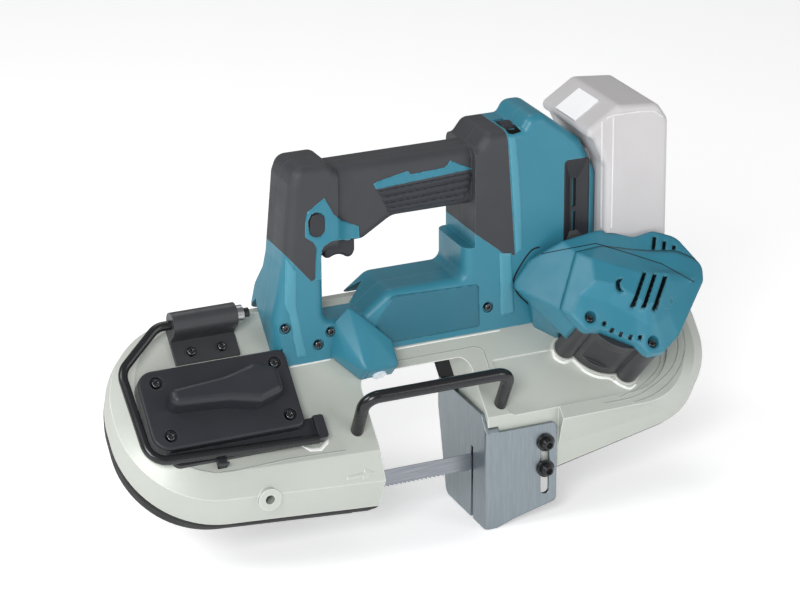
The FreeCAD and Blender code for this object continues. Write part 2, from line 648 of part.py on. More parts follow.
def make_deck():
    casting = lofted(DECK, [deck_level(name) for name in ("foot", "waist", "shoulder", "top")])
    hollow = slab(DECK, [
        (-s.hollow_left, s.hollow_nose, s.hollow_round), (-s.throat_left, s.hollow_lip),
        (s.hollow_knee, s.hollow_chin), (s.hollow_right, s.hollow_brow, s.hollow_round),
        (s.hollow_right, s.hollow_back, s.hollow_round), (-s.hollow_left, s.hollow_back, s.hollow_round),
    ], s.foot_lift - s.overrun, hollow_top - s.foot_lift + s.overrun)
    bosses = [rod(DECK, s.drive_side, s.wheel_radius, s.spindle_boss_low, s.spindle_boss,
                  s.top_lift - s.deck_wall / 2 - s.spindle_boss_low)]
    for side in (-s.guide_left, s.guide_right):
        bosses.append(box(BAND, side - s.guide_length / 2, -s.guide_depth / 2, s.guide_top,
                          s.guide_length, s.guide_depth / 2 + s.guide_pad_back, s.guide_pad))
    bosses.append(rod(BAND, -s.boss_side, -s.boss_front, s.boss_up, s.boss_radius, s.boss_length, "y"))
    body = fuse(cut(casting, cut(hollow, throat_block(s.cover_wall, s.throat_round))), *bosses)
    cuts = [
        throat_block(0, s.throat_round),
        band_way(),
        guide_space(-s.guide_left),
        guide_space(s.guide_right),
        box(BAND, s.throat_right - s.overrun, -s.reach, -s.reach,
            s.stop_wall_right - s.throat_right + s.overrun, s.reach - s.stop_wall_front, s.reach * 2),
        slab(DECK, [
            (s.panel_left, s.panel_front, s.panel_small_round), (s.panel_right, s.panel_front,
                                                                 s.panel_round),
            (s.panel_right, s.panel_back, s.panel_back_round),
            (s.panel_left, s.panel_back, s.panel_back_round),
        ], panel_lift, s.panel_depth + s.overrun),
        rod(DECK, s.drive_side, s.wheel_radius, s.foot_lift, s.bearing_outer,
            s.bearing_high - s.foot_lift),
        rod(DECK, -s.lever_side, s.lever_rise, hollow_top - s.overrun, s.lever_shaft + s.run_gap,
            s.deck_wall + s.overrun * 2),
        rod(BAND, -s.boss_side, -s.boss_front - s.overrun, s.boss_up, s.boss_bore,
            s.boss_bore_depth + s.overrun, "y"),
    ]
    cuts.extend(bolt_ways())
    for side, rise in plate_screws() + holder_screws():
        cuts.append(rod(DECK, side, rise, hollow_top - s.overrun, s.holder_screw_shank + s.run_gap,
                        s.deck_wall + s.overrun * 2))
    cuts.extend(bar_ways())
    ways = [rod(DECK, s.drive_side, s.wheel_radius, s.foot_lift, s.spindle_way, s.top_lift)]
    for side, rise in cover_screws():
        ways.append(rod(MOTOR, side, rise, hollow_top, s.housing_screw_shank + s.run_gap, s.top_lift))
    node("deck_frame", cut(fuse(cut(body, *cuts), *gear_rims(s.top_lift - s.deck_wall / 2, gear_floor,
                                                             s.pad_rim)),
                           *ways))


def guard_level(lift, inset, back_inset):
    """The guard's outline, drawn in from the casting's foot."""
    return lift, [
        (-s.foot_left + inset, -s.foot_nose + inset, s.foot_nose_round - inset),
        (s.lip_side, -s.foot_lip + inset, s.knee_round),
        (s.foot_knee, -s.foot_chin + inset, s.knee_round),
        (s.foot_right - inset, s.foot_brow + inset, s.foot_brow_round - inset),
        (s.foot_right - inset, s.foot_back - back_inset, s.foot_tail_round - inset),
        (-s.foot_left + inset, s.foot_back - back_inset, s.foot_stern_round - inset),
    ]


def make_guard():
    wall = s.cover_wall
    outer = lofted(DECK, [
        guard_level(s.foot_lift, s.run_gap, s.run_gap),
        guard_level(s.belt_lift, s.belt_inset, s.belt_inset),
        guard_level(-s.floor_drop, s.floor_inset, s.floor_back_inset),
    ])
    hollow = lofted(DECK, [
        guard_level(s.foot_lift + s.overrun, wall, wall),
        guard_level(s.belt_lift, s.belt_inset + wall, s.belt_inset + wall),
        guard_level(-s.floor_drop + wall, s.floor_inset + wall, s.floor_back_inset + wall),
    ])
    posts = []
    bores = []
    screws = []
    for side, rise in cover_posts():
        posts.append(rod(DECK, side, rise, -s.floor_drop + wall / 2, s.cover_post_radius,
                         s.foot_lift + s.floor_drop - wall / 2))
        bores.append(rod(DECK, side, rise, -s.floor_drop - s.overrun, s.cover_screw_shank + s.run_gap,
                         s.foot_lift + s.floor_drop + s.overrun * 2))
        screws.append(screw(DECK, side, rise, -s.floor_drop, s.cover_screw_shank, s.cover_screw_length,
                            s.cover_screw_head, s.cover_screw_thick, flip=True))
    shell = cut(outer, cut(hollow, throat_block(wall, s.throat_round)))
    front = box(BAND, s.throat_right - s.overrun, -s.reach, -s.reach,
                s.stop_wall_right - s.throat_right + s.overrun, s.reach - s.stop_wall_front, s.reach * 2)
    node("wheel_cover", cut(fuse(shell, *posts), throat_block(0, s.throat_round), band_way(), front,
                            *bores, *bolt_ways()))
    node("wheel_cover_screws", group(*screws))


# Wheels, tyres and the pieces that carry them
def wheel(side, bore):
    rim = s.wheel_radius - s.tyre_thick
    inner = rim - s.wheel_rim_thick
    flange_low = s.wheel_top - s.wheel_flange_thick
    flange = s.wheel_radius + s.wheel_flange_over
    web_top = s.web_low + s.web_thick
    body = turned(DECK, [
        (bore, -s.hub_low), (s.hub_radius, -s.hub_low), (s.hub_radius, s.web_low), (inner, s.web_low),
        (inner, -s.wheel_low), (rim, -s.wheel_low), (rim, flange_low), (flange, flange_low),
        (flange, s.wheel_top), (inner, s.wheel_top), (inner, web_top), (s.hub_radius, web_top),
        (s.hub_radius, s.wheel_top), (bore, s.wheel_top),
    ], side, s.wheel_radius, 0)
    holes = []
    for turn in range(WHEEL_HOLES):
        angle = 2 * math.pi * turn / WHEEL_HOLES
        holes.append(rod(DECK, side + s.wheel_hole_ring * math.cos(angle),
                         s.wheel_radius + s.wheel_hole_ring * math.sin(angle), s.web_low - s.overrun,
                         s.wheel_hole_radius, s.web_thick + s.overrun * 2))
    return cut(body, *holes)


WHEEL_HOLES = 5


def tyre(side):
    flange_low = s.wheel_top - s.wheel_flange_thick
    return ring(DECK, side, s.wheel_radius, -s.wheel_low, s.wheel_radius - s.run_gap,
                s.wheel_radius - s.tyre_thick, s.wheel_low + flange_low)


def make_drive():
    node("drive_wheel", wheel(s.drive_side, s.spindle_radius))
    node("drive_tyre", tyre(s.drive_side))
    node("drive_spindle", rod(DECK, s.drive_side, s.wheel_radius, -s.spindle_low, s.spindle_radius,
                              s.spindle_top + s.spindle_low))
    node("spindle_bearing", ring(DECK, s.drive_side, s.wheel_radius, s.bearing_low, s.bearing_outer,
                                 s.spindle_radius + s.run_gap, s.bearing_high - s.bearing_low))


slide_high = hollow_top - s.seat_gap
slide_low = slide_high - s.slide_thick


def make_idler():
    bearing_low = s.wheel_low
    node("idler_wheel", wheel(idler_side, s.idler_bearing_outer))
    node("idler_tyre", tyre(idler_side))
    node("idler_bearing", ring(DECK, idler_side, s.wheel_radius, -bearing_low, s.idler_bearing_outer,
                               s.axle_radius + s.run_gap, s.wheel_top + bearing_low))
    low = bearing_low + s.seat_gap + s.clip_thick
    axle = rod(DECK, idler_side, s.wheel_radius, -low - s.clip_thick, s.axle_radius,
               slide_low + low + s.clip_thick)
    flange = rod(DECK, idler_side, s.wheel_radius, slide_low - s.axle_flange_thick, s.axle_flange,
                 s.axle_flange_thick)
    groove = ring(DECK, idler_side, s.wheel_radius, -low, s.axle_radius + s.overrun,
                  s.axle_radius - s.clip_thick, s.clip_thick)
    collar = ring(DECK, idler_side, s.wheel_radius, s.wheel_top + s.seat_gap, s.clip_radius,
                  s.axle_radius - s.run_gap, slide_low - s.axle_flange_thick - s.wheel_top - s.seat_gap)
    node("idler_axle", cut(fuse(axle, flange, collar), groove))
    node("axle_clip", ring(DECK, idler_side, s.wheel_radius, -low, s.clip_radius,
                           s.axle_radius - s.clip_thick, s.clip_thick))


# Tension slide in its rails, worked by the lever's cam
def make_tension_slide():
    front = s.lever_rise - s.slide_half
    back = s.lever_rise + s.slide_half
    plate = box(DECK, -s.slide_left, front, slide_low, s.slide_left - s.slide_right, s.slide_half * 2,
                s.slide_thick)
    half = s.cam_radius + s.cam_slack
    angle = math.radians(number(s.cam_start_angle))
    offset_side = s.cam_throw * -math.sin(angle)
    offset_rise = s.cam_throw * -math.cos(angle)
    window = box(DECK, -s.lever_side + offset_side - half, s.lever_rise - s.cam_throw - half,
                 slide_low - s.overrun,
                 half * 2, half * 2 + s.cam_throw, s.slide_thick + s.overrun * 2)
    node("tension_slide", cut(plate, window))
    rails = []
    drop = s.slide_thick + s.seat_gap * 2 + s.rail_lip_thick
    for start, lip in ((front - s.seat_gap - s.rail_wide, front - s.overrun),
                       (back + s.seat_gap, back + s.seat_gap - s.rail_lip)):
        leg = box(DECK, -s.slide_left, start, hollow_top - drop, s.slide_left - s.slide_right,
                  s.rail_wide, drop)
        shelf = box(DECK, -s.slide_left, lip, hollow_top - drop, s.slide_left - s.slide_right,
                    s.rail_lip + s.overrun, s.rail_lip_thick)
        rails.append(fuse(leg, shelf))
    node("slide_rails", group(*rails))
    cam_low = slide_low
    shaft = rod(DECK, -s.lever_side, s.lever_rise, hollow_top, s.lever_shaft,
                s.top_lift + s.plate_high + s.lever_high / 2 - hollow_top)
    cam = rod(DECK, -s.lever_side + offset_side, s.lever_rise + offset_rise, cam_low, s.cam_radius,
              hollow_top - cam_low)
    node("tension_cam", fuse(shaft, cam))


def coil(frame, x, y, z, length):
    """An upright coil spring of square wire between two seats."""
    wire = number(s.spring_wire)
    radius = number(s.spring_radius)
    height = number(length) - 2 * wire
    helix = Part.makeHelix(height / number(s.spring_turns), height, radius)
    corners = [(-wire, -wire), (wire, -wire), (wire, wire), (-wire, wire), (-wire, -wire)]
    end = Part.makePolygon([FreeCAD.Vector(radius + out, 0, up) for out, up in corners])
    item = doc.addObject("Part::Feature", "coil")
    item.Shape = Part.Wire(helix.Edges).makePipeShell([end], True, True)
    item.Placement = frame.multiply(place(x, y, z + s.spring_wire))
    return item


def plate_screws():
    sides = (-s.plate_left + s.plate_screw_in, -s.plate_right - s.plate_screw_back_in)
    rises = (s.plate_front + s.plate_screw_back_in, s.plate_back - s.plate_screw_back_in)
    return [(side, rise) for side in sides for rise in rises]


def make_tension_cover():
    top = s.top_lift + s.plate_high
    plate = slab(DECK, [
        (-s.plate_left, s.plate_front, s.plate_round), (-s.plate_right, s.plate_front,
                                                        s.plate_small_round),
        (-s.plate_right, s.plate_back, s.plate_small_round), (-s.plate_left, s.plate_back, s.plate_round),
    ], s.top_lift, s.plate_high)
    soften(plate, s.plate_edge, at_height(top))
    shelf = slab(DECK, [
        (-s.plate_left + s.plate_round, s.shelf_front, s.plate_small_round),
        (-s.ear_right, s.shelf_front, s.plate_small_round),
        (-s.ear_right, s.plate_front + s.ear_wide, s.plate_small_round),
        (-s.plate_left + s.plate_round, s.plate_front + s.ear_wide, s.plate_small_round),
    ], s.top_lift, s.shelf_high)
    ear = slab(DECK, [
        (-s.ear_right - s.ear_wide, s.shelf_front), (-s.ear_right, s.shelf_front, s.plate_edge),
        (-s.ear_right, s.plate_front + s.ear_wide, s.plate_edge),
        (-s.ear_right - s.ear_wide, s.plate_front + s.ear_wide),
    ], s.top_lift, s.ear_high)
    bores = [rod(DECK, -s.lever_side, s.lever_rise, s.top_lift - s.overrun, s.lever_shaft + s.run_gap,
                 s.plate_high + s.overrun * 2)]
    screws = []
    seat = top - s.plate_screw_thick
    for side, rise in plate_screws():
        bores.append(rod(DECK, side, rise, seat, s.plate_screw_head + s.seat_gap,
                         s.plate_screw_thick + s.overrun))
        bores.append(rod(DECK, side, rise, s.top_lift - s.overrun, s.plate_screw_shank + s.run_gap,
                         s.plate_high + s.overrun))
        screws.append(screw(DECK, side, rise, seat, s.plate_screw_shank, s.plate_screw_length,
                            s.plate_screw_head, s.plate_screw_thick))
    hook_way = box(DECK, -s.reach, -s.reach, s.top_lift + s.shelf_high,
                   s.reach - s.ear_right - s.ear_wide,
                   s.reach + s.plate_front, s.reach)
    node("tension_cover", cut(fuse(plate, shelf, ear), hook_way, *bores))
    casting_screws.extend(screws)


def make_tension_lever():
    low = s.top_lift + s.plate_high + s.seat_gap
    body = slab(DECK, [
        (-s.lever_nose_side, s.lever_rise - s.lever_nose_half, s.lever_corner),
        (-s.lever_waist_side, s.lever_rise - s.lever_waist_half, s.lever_hub_half),
        (-s.lever_side, s.lever_rise - s.lever_hub_half, s.lever_corner),
        (-s.lever_hub_right, s.lever_rise - s.lever_waist_half, s.lever_corner),
        (-s.lever_hub_right, s.lever_rise + s.lever_waist_half, s.lever_corner),
        (-s.lever_side, s.lever_rise + s.lever_hub_half, s.lever_corner),
        (-s.lever_waist_side, s.lever_rise + s.lever_waist_half, s.lever_hub_half),
        (-s.lever_nose_side, s.lever_rise + s.lever_nose_half, s.lever_corner),
    ], low, s.lever_high)
    soften(body, s.lever_round, at_height(low + s.lever_high))
    socket = rod(DECK, -s.lever_side, s.lever_rise, low - s.overrun, s.lever_shaft,
                 s.top_lift + s.plate_high + s.lever_high / 2 - low + s.overrun)
    node("tension_lever", cut(body, socket))


# Saw band: two wheel arcs, the rear run, and the front run that twists towards the cut
def make_band():
    radius = number(s.wheel_radius)
    thick = number(s.band_thick)
    half = number(s.band_width) / 2
    left = number(idler_side)
    right = number(s.drive_side)
    outer = Part.makeBox(right - left, thick, half * 2, FreeCAD.Vector(left, 2 * radius, -half))
    pieces = [outer]
    for side, start in ((left, 90), (right, 270)):
        tube = Part.makeCylinder(radius + thick, half * 2, FreeCAD.Vector(side, radius, -half),
                                 FreeCAD.Vector(0, 0, 1), 180)
        bore = Part.makeCylinder(radius, half * 2, FreeCAD.Vector(side, radius, -half))
        arc = tube.cut(bore)
        arc.rotate(FreeCAD.Vector(side, radius, 0), FreeCAD.Vector(0, 0, 1), start)
        pieces.append(arc)
    entry = -number(s.guide_left + s.guide_length / 2)
    leave = number(s.guide_right + s.guide_length / 2)
    run = number(s.twist_run)
    tilt = -number(s.deck_tilt)
    sections = [(left, 0), (entry - run, 0), (entry, tilt), (leave, tilt), (leave + run, 0), (right, 0)]
    for (start, first), (end, last) in zip(sections, sections[1:]):
        steps = 1 if first == last else TWIST_STEPS
        wires = []
        for step in range(steps + 1):
            share = step / steps
            wires.append(band_section(start + (end - start) * share, first + (last - first) * share,
                                      thick, half))
        pieces.append(Part.makeLoft(wires, True, True))
    band = pieces[0].multiFuse(pieces[1:]).removeSplitter()
    teeth = []
    pitch = number(s.tooth_pitch)
    depth = number(s.tooth_depth)
    count = int((leave - entry) / pitch)
    for index in range(count):
        start = entry + pitch * index
        notch = Part.Face(Part.makePolygon([
            FreeCAD.Vector(start, -thick * 4, -half - depth),
            FreeCAD.Vector(start + pitch, -thick * 4, -half - depth),
            FreeCAD.Vector(start + pitch, -thick * 4, -half),
            FreeCAD.Vector(start, -thick * 4, -half + depth),
            FreeCAD.Vector(start, -thick * 4, -half - depth),
        ]))
        teeth.append(notch.extrude(FreeCAD.Vector(0, thick * 8, 0)))
    gullets = teeth[0].fuse(teeth[1:])
    gullets.rotate(FreeCAD.Vector(0, -thick / 2, 0), FreeCAD.Vector(1, 0, 0), tilt)
    item = doc.addObject("Part::Feature", "band")
    item.Shape = band.cut(gullets)
    item.Placement = DECK
    node("saw_band", item)


TWIST_STEPS = 6


def band_section(side, angle, thick, half):
    """The band's cross section at a place along the front run, turned about its middle."""
    corners = [(-thick, -half), (0, -half), (0, half), (-thick, half)]
    wire = Part.makePolygon([FreeCAD.Vector(side, rise, lift) for rise, lift in corners + corners[:1]])
    wire.rotate(FreeCAD.Vector(side, -thick / 2, 0), FreeCAD.Vector(1, 0, 0), angle)
    return wire


# Band guides with their rollers
def make_guides():
    pins = []
    half = s.guide_depth / 2
    offset = s.roller_radius + s.roller_gap + s.band_thick / 2
    middle = s.band_thick / -2 * math.cos(math.radians(number(s.deck_tilt)))
    low = -s.guide_low
    for name, side in (("left", -s.guide_left), ("right", s.guide_right)):
        start = side - s.guide_length / 2
        bridge = box(BAND, start, -half, s.guide_top - s.guide_bridge, s.guide_length, half * 2,
                     s.guide_bridge)
        node(f"guide_block_{name}", cut(bridge, *[
            rod(BAND, side, middle + offset * sign, low, s.pin_radius, s.reach) for sign in (-1, 1)]))
        for place_name, sign in (("front", -1), ("back", 1)):
            node(f"guide_roller_{name}_{place_name}",
                 ring(BAND, side, middle + offset * sign, -s.roller_height / 2, s.roller_radius,
                      s.pin_radius + s.run_gap, s.roller_height))
            pins.append(fuse(
                rod(BAND, side, middle + offset * sign, low + s.band_thick, s.pin_radius,
                    s.guide_top - low - s.band_thick),
                rod(BAND, side, middle + offset * sign, low, s.pin_radius + s.band_thick * 2,
                    -low - s.roller_height / 2 - s.seat_gap)))
    node("guide_pins", group(*pins))


# Stopper: a bent plate held by two bolts in a slot
stop_inside = s.throat_right - s.stop_gap
stop_outside = stop_inside - s.stop_thick
stop_back_face = s.stop_wall_front + s.stop_gap
stop_front_face = stop_back_face + s.stop_thick


def bolt_ways():
    """Bores for the stopper's bolts."""
    return [rod(BAND, s.stop_slot_side, -s.stop_wall_front - s.overrun, up, s.bolt_shank + s.run_gap,
                s.bolt_length + s.overrun, "y") for up in (s.bolt_up, s.bolt_up - s.bolt_pitch)]


def make_stopper():
    sheet_metal = slab(BAND, [
        (stop_outside, -stop_front_face, s.stop_bend), (s.stop_right + s.overrun, -stop_front_face),
        (s.stop_right + s.overrun, -stop_back_face), (stop_inside, -stop_back_face,
                                                      s.stop_bend - s.stop_thick),
        (stop_inside, s.reach), (stop_outside, s.reach),
    ], -s.reach, s.reach * 2)
    left = stop_outside - s.overrun
    over = s.stop_top + s.overrun
    step = drawn("stop_front")
    face = slab(FRONT, [(left, -s.stop_drop)] + step + [(step[-1][0], over), (left, over)], -s.reach,
                s.reach * 2)
    ahead = -stop_front_face - s.overrun
    flank = slab(PROFILE, [(ahead, -s.stop_drop)] + drawn("stop_side") + [
        (-stop_front_face, s.stop_front_top), (ahead, s.stop_front_top)], 0, s.reach)
    half = s.stop_slot_wide / 2
    slot = slab(FRONT, [
        (s.stop_slot_side - half, -s.stop_slot_low, half * ROUND_SHARE),
        (s.stop_slot_side + half, -s.stop_slot_low, half * ROUND_SHARE),
        (s.stop_slot_side + half, s.stop_slot_high, half * ROUND_SHARE),
        (s.stop_slot_side - half, s.stop_slot_high, half * ROUND_SHARE),
    ], 0, s.reach)
    slit = box(BAND, left, -s.stop_slit / 2, -s.reach, s.stop_thick + s.overrun * 2, s.stop_slit,
               s.reach + s.stop_slit_top)
    node("stopper_plate", cut(common(sheet_metal, face, flank), slot, slit))
    bolts = []
    washers = []
    seat = -stop_front_face - s.stop_gap - s.washer_thick
    for up in (s.bolt_up, s.bolt_up - s.bolt_pitch):
        bolt = screw(BAND, s.stop_slot_side, seat, up, s.bolt_shank, s.bolt_length, s.bolt_head,
                     s.bolt_thick,
                     "y", flip=True)
        socket = rod(BAND, s.stop_slot_side, seat - s.bolt_thick - s.overrun, up, s.bolt_socket,
                     s.bolt_socket_deep + s.overrun, "y")
        bolts.append(cut(bolt, socket))
        washers.append(ring(BAND, s.stop_slot_side, seat, up, s.washer_radius, s.bolt_shank + s.run_gap,
                            s.washer_thick, "y"))
    node("stopper_bolts", group(*bolts))
    node("stopper_washers", group(*washers))


ROUND_SHARE = 0.96

# Front bar, bent from a round rod
bar_angle = math.degrees(math.atan2(number(s.bar_lift), number(s.bar_lean)))
BAR = DECK.multiply(place(0, s.bar_rise, s.top_lift, FreeCAD.Rotation(SIDE, bar_angle).multiply(
    FreeCAD.Rotation(FreeCAD.Vector(0, 0, 1), number(s.grip_tilt)))))


def bar_ways():
    """Bores for the feet of the front bar."""
    return [rod(BAR, -s.bar_sink, side, 0, s.bar_radius + s.run_gap, s.bar_sink * 2, "x")
            for side in (s.bar_left, -s.bar_right)]


def make_bar():
    height = s.bar_lift / math.sin(math.radians(bar_angle))
    node("front_bar", bent_rod(BAR, [
        (-s.bar_sink, s.bar_left), (height, s.bar_left, s.bar_bend),
        (height, -s.bar_right, s.bar_bend), (-s.bar_sink, -s.bar_right),
    ], s.bar_radius))


# Hanging hook, swinging in its holder
HOOK = DECK.multiply(place(0, s.hook_rise, s.hook_lift,
                           FreeCAD.Rotation(SIDE, number(s.hook_lean_angle))))


def holder_screws():
    return [(-s.holder_left + s.holder_screw_in, s.holder_screw_rise),
            (-s.holder_right - s.holder_screw_in, s.holder_screw_rise)]


def make_hook():
    node("hook_arm", bent_rod(HOOK, [
        (-s.hook_end, 0), (-s.hook_shoulder, 0, s.hook_bend), (-s.hook_elbow_side, -s.hook_elbow,
                                                               s.hook_bend),
        (-s.hook_knee_side, -s.hook_knee, s.hook_bend), (-s.hook_tip_side, -s.hook_tip),
    ], s.hook_radius))
    node("hook_nut", ring(HOOK, -s.holder_right + s.seat_gap, 0, 0, s.hook_nut_radius, s.hook_radius,
                          s.hook_nut_thick, "x"))
    length = s.holder_left - s.holder_right
    tube = rod(DECK, -s.holder_left, s.hook_rise, s.hook_lift, s.holder_tube, length, "x")
    saddle = box(DECK, -s.holder_left, s.hook_rise - s.holder_tube, s.top_lift, length,
                 s.top_back - s.hook_rise + s.holder_tube, s.hook_lift - s.top_lift)
    flange = box(DECK, -s.holder_left, s.holder_front, s.top_lift, length,
                 s.hook_rise - s.holder_front, s.holder_thick)
    bores = [rod(DECK, -s.holder_left - s.overrun, s.hook_rise, s.hook_lift, s.hook_radius + s.run_gap,
                 length + s.overrun * 2, "x")]
    screws = []
    for side, rise in holder_screws():
        bores.append(rod(DECK, side, rise, s.top_lift - s.overrun, s.holder_screw_shank + s.run_gap,
                         s.holder_thick + s.overrun * 2))
        screws.append(screw(DECK, side, rise, s.top_lift + s.holder_thick, s.holder_screw_shank,
                            s.holder_screw_length, s.holder_screw_head, s.holder_screw_thick))
    node("hook_holder", cut(fuse(tube, saddle, flange), *bores))
    node("hook_holder_screws", group(*screws))


# Gears between the motor and the drive wheel
def toothed(side, rise, lift, module, teeth, wide, bore, turn):
    """A spur gear with straight-flanked teeth, turned so that one tooth points the given way."""
    count = round(number(teeth))
    pitch = module * math.pi
    root = module * (count / 2 - ROOT_SHARE)
    tip = module * (count / 2 + TIP_SHARE)
    body = doc.addObject("PartDesign::Body", "gear")
    sketch = drawing(body)
    rims = [root] + ([bore] if bore else [])
    for index, radius in enumerate(rims):
        sketch.addGeometry(Part.Circle(FreeCAD.Vector(), FreeCAD.Vector(0, 0, 1), number(radius)), False)
        sketch.addConstraint([Sketcher.Constraint("Coincident", index, 3, -1, 1),
                              Sketcher.Constraint("Radius", index, number(radius))])
        sketch.setExpression(f"Constraints[{2 * index + 1}]", words(radius))
    disc = body.newObject("PartDesign::Pad", "disc")
    disc.Profile = sketch
    bind(disc, "Length", wide)
    foot = pitch * FOOT_SHARE
    crest = pitch * CREST_SHARE
    inside = root * INSIDE_SHARE
    tooth = body.newObject("PartDesign::Pad", "tooth")
    tooth.Profile = outline(drawing(body), [(inside, -foot), (root, -foot), (tip, -crest), (tip, crest),
                                            (root, foot), (inside, foot)])
    bind(tooth, "Length", wide)
    pattern = body.newObject("PartDesign::PolarPattern", "teeth")
    pattern.Originals = [tooth]
    pattern.Axis = (plane_of(body, "Z_Axis"), [""])
    pattern.Angle = 360
    pattern.Occurrences = count
    body.Tip = pattern
    body.Placement = DECK.multiply(place(side, rise, lift,
                                         FreeCAD.Rotation(FreeCAD.Vector(0, 0, 1), turn)))
    return body


ROOT_SHARE = 1.25
TIP_SHARE = 0.85
FOOT_SHARE = 0.21
CREST_SHARE = 0.09
INSIDE_SHARE = 0.9

def make_gears():
    back = middle_way + number(s.half_turn)
    node("output_gear", toothed(s.drive_side, s.wheel_radius, s.gear_low, s.gear_module, s.gear_teeth,
                                s.gear_wide, s.spindle_radius, middle_way))
    half_pitch = number(s.half_turn) / number(s.small_teeth)
    small = toothed(middle_side, middle_rise, s.gear_low, s.gear_module, s.small_teeth, small_wide,
                    s.middle_bore + s.run_gap, back + half_pitch)
    large = toothed(middle_side, middle_rise, middle_low, s.middle_module, s.middle_teeth, s.middle_wide,
                    s.middle_bore + s.run_gap, motor_way)
    neck = ring(DECK, middle_side, middle_rise, s.gear_low + small_wide / 2,
                s.middle_bore + s.middle_module,
                s.middle_bore + s.run_gap, middle_low - s.gear_low - small_wide / 2)
    node("middle_gear", fuse(small, large, neck))


def make_gear_housing():
    drum, side_room, *bosses = gear_rims(gear_floor, s.split_lift, 0)
    outer = [drum, common(side_room, box(DECK, -s.reach, -s.reach, 0, s.reach * 2, s.reach * 2,
                                         s.roof_high)), *bosses]
    height = roof_low - gear_floor + s.overrun
    bores = [
        rod(MOTOR, 0, 0, gear_floor - s.overrun, drive_room, height),
        rod(DECK, middle_side, middle_rise, gear_floor - s.overrun, middle_room, height),
        rod(DECK, motor_side, motor_rise, gear_floor, s.rotor_shaft + s.gear_room, s.reach),
        rod(DECK, motor_side, motor_rise, s.roof_high, s.stator_outer, s.reach),
    ]
    for side, rise in cover_screws():
        bores.append(rod(MOTOR, side, rise, gear_floor - s.overrun, s.housing_screw_shank + s.run_gap,
                         s.reach))
    face = MOTOR.multiply(place(0, 0, 0, FreeCAD.Rotation(LIFT, number(s.window_angle))))
    bores.append(box(face, drive_room + s.gear_wall - s.window_deep, -s.window_half, s.window_low,
                     s.reach,
                     s.window_half * 2, s.window_high - s.window_low))
    axle = rod(DECK, middle_side, middle_rise, gear_floor, s.middle_bore,
               roof_low - gear_floor + s.housing_roof / 2)
    node("gear_housing", fuse(cut(fuse(*outer), *bores), axle))


# Motor under its two covers
def make_motor():
    shaft_low = middle_low + s.middle_wide + s.gear_gap
    top = s.rotor_high + s.motor_bearing_thick * 2
    pinion = toothed(motor_side, motor_rise, middle_low, s.middle_module, s.pinion_teeth,
                     s.middle_wide + s.gear_gap,
                     None, motor_way + number(s.half_turn) + number(s.half_turn) / number(s.pinion_teeth))
    shaft = rod(DECK, motor_side, motor_rise, shaft_low, s.rotor_shaft, top - shaft_low)
    core = rod(DECK, motor_side, motor_rise, s.rotor_low, s.rotor_radius, s.rotor_high - s.rotor_low)
    node("motor_rotor", fuse(pinion, shaft, core))
    node("motor_stator", ring(DECK, motor_side, motor_rise, s.rotor_low, s.stator_outer, s.stator_inner,
                              s.rotor_high - s.rotor_low))
    node("motor_bearing", ring(DECK, motor_side, motor_rise, top - s.motor_bearing_thick,
                               s.motor_bearing_outer,
                               s.rotor_shaft + s.run_gap, s.motor_bearing_thick))
    hub = ring(DECK, motor_side, motor_rise, s.roof_high + s.fan_gap, s.rotor_shaft * 2, s.rotor_shaft,
               s.fan_thick)
    disc = ring(DECK, motor_side, motor_rise, s.roof_high + s.fan_gap, s.fan_radius, s.rotor_shaft,
                s.fan_gap)
    blades = []
    for turn in range(FAN_BLADES):
        spin = place(motor_side, motor_rise, s.roof_high + s.fan_gap,
                     FreeCAD.Rotation(FreeCAD.Vector(0, 0, 1), 360 * turn / FAN_BLADES))
        blades.append(box(DECK.multiply(spin), s.rotor_shaft + s.fan_gap, 0, 0,
                          s.fan_radius - s.rotor_shaft - s.fan_gap, s.fan_gap, s.fan_thick))
    node("motor_fan", fuse(hub, disc, *blades))


FAN_BLADES = 9


def rows(frame, side, rise, step, drop, angle, long, floor):
    """Three slots side by side, open upwards from a floor."""
    slots = []
    for index in range(COVER_SLOTS):
        turn = FreeCAD.Rotation(LIFT, number(angle))
        spot = frame.multiply(place(side + step * index, rise - drop * index, 0, turn))
        slots.append(box(spot, 0, -s.slot_wide / 2, floor, long, s.slot_wide, s.reach))
    return slots


def moon(side, rise):
    """A crescent pocket, hollow towards the motor's axis."""
    run_side = motor_side - s.drive_side - side
    run_rise = motor_rise - s.wheel_radius - rise
    share = number(s.moon_shift) / math.hypot(number(run_side), number(run_rise))
    return cut(rod(MOTOR, side, rise, s.slot_floor, s.moon_radius, s.reach),
               rod(MOTOR, side + run_side * share, rise + run_rise * share, s.slot_floor - s.overrun,
                   s.moon_radius, s.reach * 2))


def pores():
    """Small square vents along the front edge."""
    holes = []
    for index in range(COVER_PORES):
        angle = number(s.pore_angle) + number(s.pore_step_angle) * index
        ray = MOTOR.multiply(place(0, 0, 0, FreeCAD.Rotation(LIFT, angle)))
        holes.append(box(ray, s.pore_ring, -s.pore_wide / 2, s.pore_floor, s.pore_long, s.pore_wide,
                         s.reach))
    return holes


COVER_SLOTS = 3
COVER_PORES = 5


